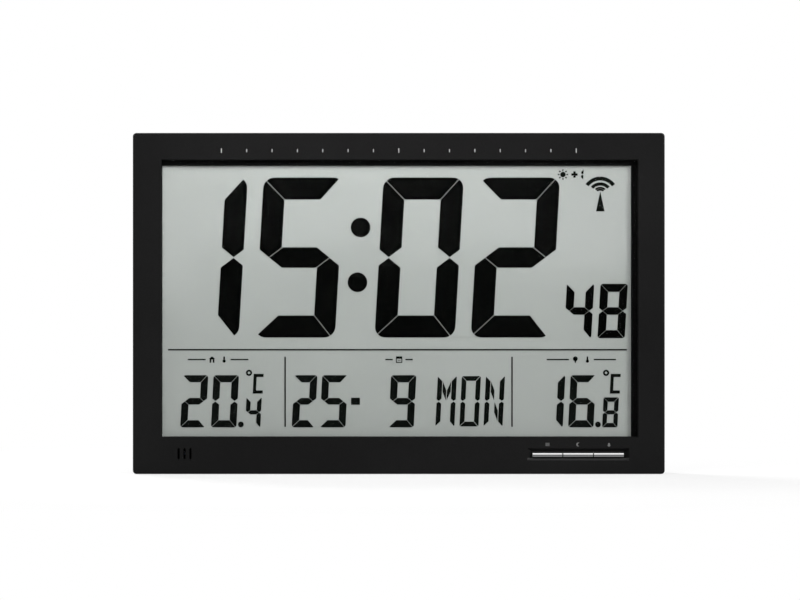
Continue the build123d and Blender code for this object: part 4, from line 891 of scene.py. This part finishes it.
@dataclass
class KeyRow(SubAssembly):
    """The three chromed keys, what they press, and a small printed sign above each."""

    key_half: float = 0.0016
    sign_rise: float = 0.0072
    sign_lift: float = 0.00004
    bar_half: Pair = (0.0014, 0.0002)
    bar_step: float = 0.00085
    moon_radius: float = 0.00135
    moon_bite: float = 0.0011
    moon_shift: float = 0.0007
    bell_half: float = 0.0011
    bell_height: float = 0.0021
    bell_waist_share: float = 0.66
    clapper_half: Pair = (0.0004, 0.00025)
    curve_points: int = 25

    keys: ClassVar[tuple[str, ...]] = ("mode_button", "snooze_button", "alarm_button")
    finishes: ClassVar[dict[str, Finish]] = {
        "mode_plunger": BLACK_PLASTIC,
        "snooze_plunger": BLACK_PLASTIC,
        "alarm_plunger": BLACK_PLASTIC,
        "key_switch_bodies": BLACK_PLASTIC,
        "key_pcb": BOARD,
        "key_pcb_screws": STEEL,
        "ribbon_cable": RIBBON,
    }

    def fitted_finishes(self) -> dict[str, Finish]:
        """Returns the keys' chrome, whose painted reflections follow their height."""
        crest = middle(self.keys[0]).z
        chrome = KeyChrome("key chrome with painted reflections", crest - self.key_half, crest + self.key_half)
        return dict.fromkeys(self.keys, chrome)

    def place(self, node: str) -> Pair:
        """Returns the X and Z of the sign above a key."""
        key = middle(node)
        return key.x, key.z + self.sign_rise

    def moon(self, centre: Pair) -> tuple[np.ndarray, np.ndarray]:
        """The two edges of a crescent.

        They are arcs of a circle and of a smaller one beside it, between the points where the two circles
        meet: the meeting points come from both circles' equations.

        Args:
            centre: X and Z of the larger circle's middle.

        Returns:
            The outer and the inner arc.
        """
        across = (self.moon_radius**2 - self.moon_bite**2 + self.moon_shift**2) / (2.0 * self.moon_shift)
        up = math.sqrt(self.moon_radius**2 - across**2)
        arcs = []
        for radius, shift in ((self.moon_radius, 0.0), (self.moon_bite, self.moon_shift)):
            start = math.atan2(up, across - shift)
            angle = np.linspace(start, math.tau - start, self.curve_points)
            arc = np.stack([shift + radius * np.cos(angle), radius * np.sin(angle)], -1)
            arcs.append(np.array(centre) + arc)
        return arcs[0], arcs[1]

    def bell(self, centre: Pair) -> tuple[np.ndarray, np.ndarray]:
        """The two edges of a bell.

        Its half width, from mouth to crown, is a round dome times a flare that fades with the fourth power
        of the height.

        Args:
            centre: X and Z of the bell's middle.

        Returns:
            The left and the right edge, from the mouth up.
        """
        share = np.linspace(0.0, 1.0, self.curve_points)
        flare = self.bell_waist_share + (1.0 - self.bell_waist_share) * (1.0 - share) ** 4
        half = self.bell_half * np.sqrt(1.0 - share**3) * flare
        up = (share - 0.5) * self.bell_height
        return tuple(np.array(centre) + np.stack([way * half, up], -1) for way in (-1.0, 1.0))

    def build(self) -> None:
        """Prints three bars, a crescent and a bell above the keys."""
        style = MarkStyle(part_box("front_bezel")[0].y, Side.FRONT, self.sign_lift)
        x, z = self.place("mode_button")
        bars = [style.dome((x, z + step * self.bar_step), self.bar_half) for step in (-1, 0, 1)]
        raise_piece("mode_sign", bars, LABEL_INK, "case")
        crescent = style.band(*self.moon(self.place("snooze_button")))
        raise_piece("snooze_sign", [crescent], LABEL_INK, "case")
        x, z = self.place("alarm_button")
        clapper = style.dome((x, z - self.bell_height / 2.0 - self.clapper_half[1]), self.clapper_half, 2.0)
        bell = style.band(*self.bell((x, z)))
        raise_piece("alarm_sign", [bell, clapper], LABEL_INK, "case")


@dataclass
class Electronics(SubAssembly):
    """The boards and what is soldered to them."""

    finishes: ClassVar[dict[str, Finish]] = {
        "main_pcb": BOARD,
        "main_pcb_screws": STEEL,
        "driver_chips": BLACK_PLASTIC,
        "quartz_crystals": STEEL,
        "capacitors": CAN_SLEEVE,
        "reset_switch": BLACK_PLASTIC,
        "time_receiver_pcb": BOARD,
        "receiver_chip": BLACK_PLASTIC,
        "ferrite_rod": FERRITE,
        "antenna_coil": WINDING,
        "antenna_holders": WHITE_PLASTIC,
        "sensor_receiver_pcb": BOARD,
        "sensor_receiver_can": STEEL,
        "helical_antenna": COPPER,
        "thermistor_pcb": BLACK_BOARD_AND_SHADE,
        "thermistor": BEAD,
        "sensor_lead": BLACK_LEAD,
        "buzzer_case": BLACK_PLASTIC,
        "piezo_disc": BRASS,
    }


@dataclass
class BatteryBay(SubAssembly):
    """The cells, their contacts, and the door with its foam."""

    cell_pitch: float = 0.0154
    cell_length: float = 0.0492
    nub_height: float = 0.0012
    foam_power: float = 14.0
    foam_points: int = 96
    crown_points: int = 12
    crown_share: float = 0.3
    arrow_rise: float = 0.006
    arrow_half: float = 0.0035
    arrow_height: float = 0.005
    arrow_lift: float = 0.0002

    finishes: ClassVar[dict[str, Finish]] = {
        "contact_plates": STEEL,
        "contact_springs": STEEL,
        "battery_lead_red": RED_LEAD,
        "battery_lead_black": BLACK_LEAD,
        "battery_door": COVER_WITH_PAINTED_LIGHT,
    }

    def fitted_finishes(self) -> dict[str, Finish]:
        """Returns the cells' sleeve, which follows their rows and their ends."""
        low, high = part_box("battery_cells")
        rows = round((high.z - low.z) / self.cell_pitch)
        slack = (rows * self.cell_pitch - (high.z - low.z)) / 2.0
        sleeve = CellSleeve(
            "cell sleeve", low.x + self.nub_height, high.x - self.nub_height, low.z - slack,
            self.cell_pitch, self.cell_length,
        )
        return {"battery_cells": sleeve}

    def build(self) -> None:
        """Makes the foam pad and the arrow on the door."""
        self.make_foam()
        self.make_arrow()

    def make_foam(self) -> None:
        """Makes the foam pad on the inner side of the door.

        The pad is an oval that shrinks to its middle on the glued side, stands up at full size, and closes
        over its face with a crown: its height falls off with the sixth power of the share of the outline.
        """
        low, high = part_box("door_foam")
        centre = middle("door_foam")
        outline = oval(((high.x - low.x) / 2.0, (high.z - low.z) / 2.0), self.foam_power, self.foam_points)
        face = np.cos(np.linspace(0.0, math.pi / 2.0, self.crown_points))
        face[-1] = 0.0
        share = np.concatenate([[0.0, 1.0], face])
        crown = 1.0 - self.crown_share * face**6
        height = np.concatenate([[0.0, 0.0], crown]) * (high.y - low.y)
        flat = np.array((centre.x, centre.z)) + share[:, None, None] * outline
        pad = Patch(on_face(flat, height[:, None], high.y, Side.FRONT))
        foam = raise_piece("door_foam_pad", [pad], DOOR_FOAM, "door", smooth=True)
        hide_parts("door_foam")

    def make_arrow(self) -> None:
        """Raises a triangle on the outer side of the door, which points down, away from its hinge."""
        low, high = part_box("battery_door")
        base = np.array((middle("battery_door").x, low.z + self.arrow_rise))
        tips = [(way * self.arrow_half, self.arrow_height) for way in (-1.0, 1.0)]
        edges = [base + np.array([(0.0, 0.0), tip]) for tip in tips]
        style = MarkStyle(high.y, Side.REAR, self.arrow_lift)
        raise_piece("door_arrow", [style.band(*edges)], COVER_WITH_PAINTED_LIGHT, "door")


@dataclass
class Stand(SubAssembly):
    """The folding leg with its pin and feet."""

    finishes: ClassVar[dict[str, Finish]] = {
        "stand_leg": COVER_WITH_PAINTED_LIGHT,
        "stand_foot_pads": RUBBER,
        "stand_hinge_pin": STEEL,
    }


@dataclass(frozen=True)
class Lamp:
    """A soft rectangular lamp: its place, the point that it faces, its width and height, and its watts.

    Bright metal and gloss show it only where it is mirrored.
    """

    name: str
    place: Triple
    target: Triple
    size: Pair
    power: float
    mirrored: bool = True

    def hang(self) -> None:
        """Hangs the lamp in the scene."""
        light = bpy.data.lights.new(self.name, "AREA")
        light.shape = "RECTANGLE"
        light.size, light.size_y = self.size
        light.energy = self.power
        lamp = bpy.data.objects.new(self.name, light)
        lamp.location = self.place
        lamp.visible_glossy = self.mirrored
        aim = Vector(self.target) - Vector(self.place)
        lamp.rotation_euler = aim.to_track_quat("-Z", "Y").to_euler()
        bpy.context.scene.collection.objects.link(lamp)


@dataclass
class Studio:
    """A pale floor in white surroundings, soft lamps and the camera of the photograph."""

    image_width: int = 800
    pixel: float = 0.0006915
    aim: Pair = (0.00083, 0.1204)
    distance: float = 2.5
    floor_half: float = 8.0
    floor_points: int = 3
    floor_gap: float = 0.0002
    ambient: float = 0.07
    floor_pale: float = 0.55
    floor_white: float = 0.95
    floor_glow: Pair = (0.72, 1.0)
    glow_reach: Pair = (0.2, 0.5)
    lamps: tuple[Lamp, ...] = (
        Lamp("key", (-0.06, -0.265, 0.424), (-0.06, 0.0, 0.06), (0.36, 0.15), 1.19, mirrored=False),
        Lamp("side", (1.6, -1.3, 0.8), HEART, (0.5, 0.5), 29.0),
        Lamp("rear", (-0.5, 0.7, 0.85), HEART, (0.5, 0.5), 14.0),
        Lamp("rear fill", (1.4, 1.2, 0.5), HEART, (0.6, 0.6), 14.0),
    )
    boxes: tuple[Triple, ...] = (
        (-0.475, -0.315, 0.125), (-0.315, -0.02, 0.204), (-0.02, 0.065, 0.166), (0.065, 0.19, 0.204),
        (0.19, 0.475, 0.168),
    )
    box_top: float = 0.396
    box_place: float = -3.0
    box_glow: float = 2.95

    def lay_floor(self) -> None:
        """Lays the floor: a flat grid, pale to the light and white to the camera, which keeps the shadow."""
        reach = np.linspace(-self.floor_half, self.floor_half, self.floor_points)
        x, y = np.meshgrid(reach, reach, indexing="ij")
        patch = Patch(np.stack([x, y, np.full_like(x, -self.floor_gap)], -1), round_columns=False)
        mesh = bpy.data.meshes.new("floor")
        mesh.from_pydata(patch.points.reshape(-1, 3), [], patch.quads())
        bench = Bench("pale floor")
        pale, white = (
            bench.add("ShaderNodeBsdfDiffuse", {"Color": (tone, tone, tone, 1.0)}).outputs[0]
            for tone in (self.floor_pale, self.floor_white)
        )
        glow = bench.add("ShaderNodeEmission", {"Color": WHITE, "Strength": 1.0}).outputs[0]
        distance = bench.add("ShaderNodeVectorMath", {0: bench.place}, operation="LENGTH").outputs["Value"]
        fade = bench.spread(distance, self.floor_glow, self.glow_reach)
        bright = bench.add("ShaderNodeMixShader", {0: fade, 1: white, 2: glow}).outputs[0]
        both = bench.add("ShaderNodeMixShader", {0: bench.seen(), 1: pale, 2: bright})
        bench.feed(bench.tree.nodes["Material Output"], {"Surface": both.outputs[0]})
        bench.tree.nodes.remove(bench.shader)
        mesh.materials.append(bench.material)
        floor = bpy.data.objects.new("floor", mesh)
        bpy.context.scene.collection.objects.link(floor)

    def surround(self) -> None:
        """Makes the surroundings white to the camera and a soft grey light to everything else."""
        world = bpy.data.worlds.new("studio")
        world.use_nodes = True
        bpy.context.scene.world = world
        graph = Graph(world.node_tree)
        soft = graph.tree.nodes["Background"]
        graph.feed(soft, {"Color": WHITE, "Strength": self.ambient})
        white = graph.add("ShaderNodeBackground", {"Color": WHITE})
        rays = {0: graph.seen(), 1: soft.outputs[0], 2: white.outputs[0]}
        both = graph.add("ShaderNodeMixShader", rays)
        graph.feed(graph.tree.nodes["World Output"], {"Surface": both.outputs[0]})

    def soft_boxes(self) -> list[Lamp]:
        """Returns the row of dim soft boxes behind the camera, which the upper half of the display mirrors.

        They have one top and uneven lower edges, and all glow alike: their power is the glow times their
        area and pi.
        """
        row = []
        for number, (left, right, low) in enumerate(self.boxes):
            width, height = right - left, self.box_top - low
            across, up = (left + right) / 2.0, (low + self.box_top) / 2.0
            power = self.box_glow * math.pi * width * height
            place, target = (across, self.box_place, up), (across, 0.0, up)
            row.append(Lamp(f"box {number}", place, target, (width, height), power))
        return row

    def light(self) -> None:
        """Hangs the lamps round the clock and the soft boxes behind the camera."""
        for lamp in (*self.lamps, *self.soft_boxes()):
            lamp.hang()

    def aim_camera(self) -> None:
        """Sets the camera square to the front face, so that one pixel there has the photograph's size."""
        camera = bpy.data.cameras.new("camera")
        camera.lens = camera.sensor_width * self.distance / (self.image_width * self.pixel)
        seat = bpy.data.objects.new("camera", camera)
        seat.location = (self.aim[0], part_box("front_bezel")[0].y - self.distance, self.aim[1])
        seat.rotation_euler = (math.pi / 2.0, 0.0, 0.0)
        bpy.context.scene.collection.objects.link(seat)
        bpy.context.scene.camera = seat

    def build(self) -> None:
        """Sets up the floor, the surroundings, the lamps and the camera."""
        bpy.context.scene.view_settings.view_transform = "Standard"
        self.lay_floor()
        self.surround()
        self.light()
        self.aim_camera()
        LOG.info("set up the studio")


def main() -> None:
    logging.basicConfig(level=logging.INFO, format="%(name)s: %(message)s")
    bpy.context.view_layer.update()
    for part in (Case(), Display(), KeyRow(), Electronics(), BatteryBay(), Stand()):
        part.dress()
        part.build()
    Studio().build()


if __name__ == "__main__":
    main()
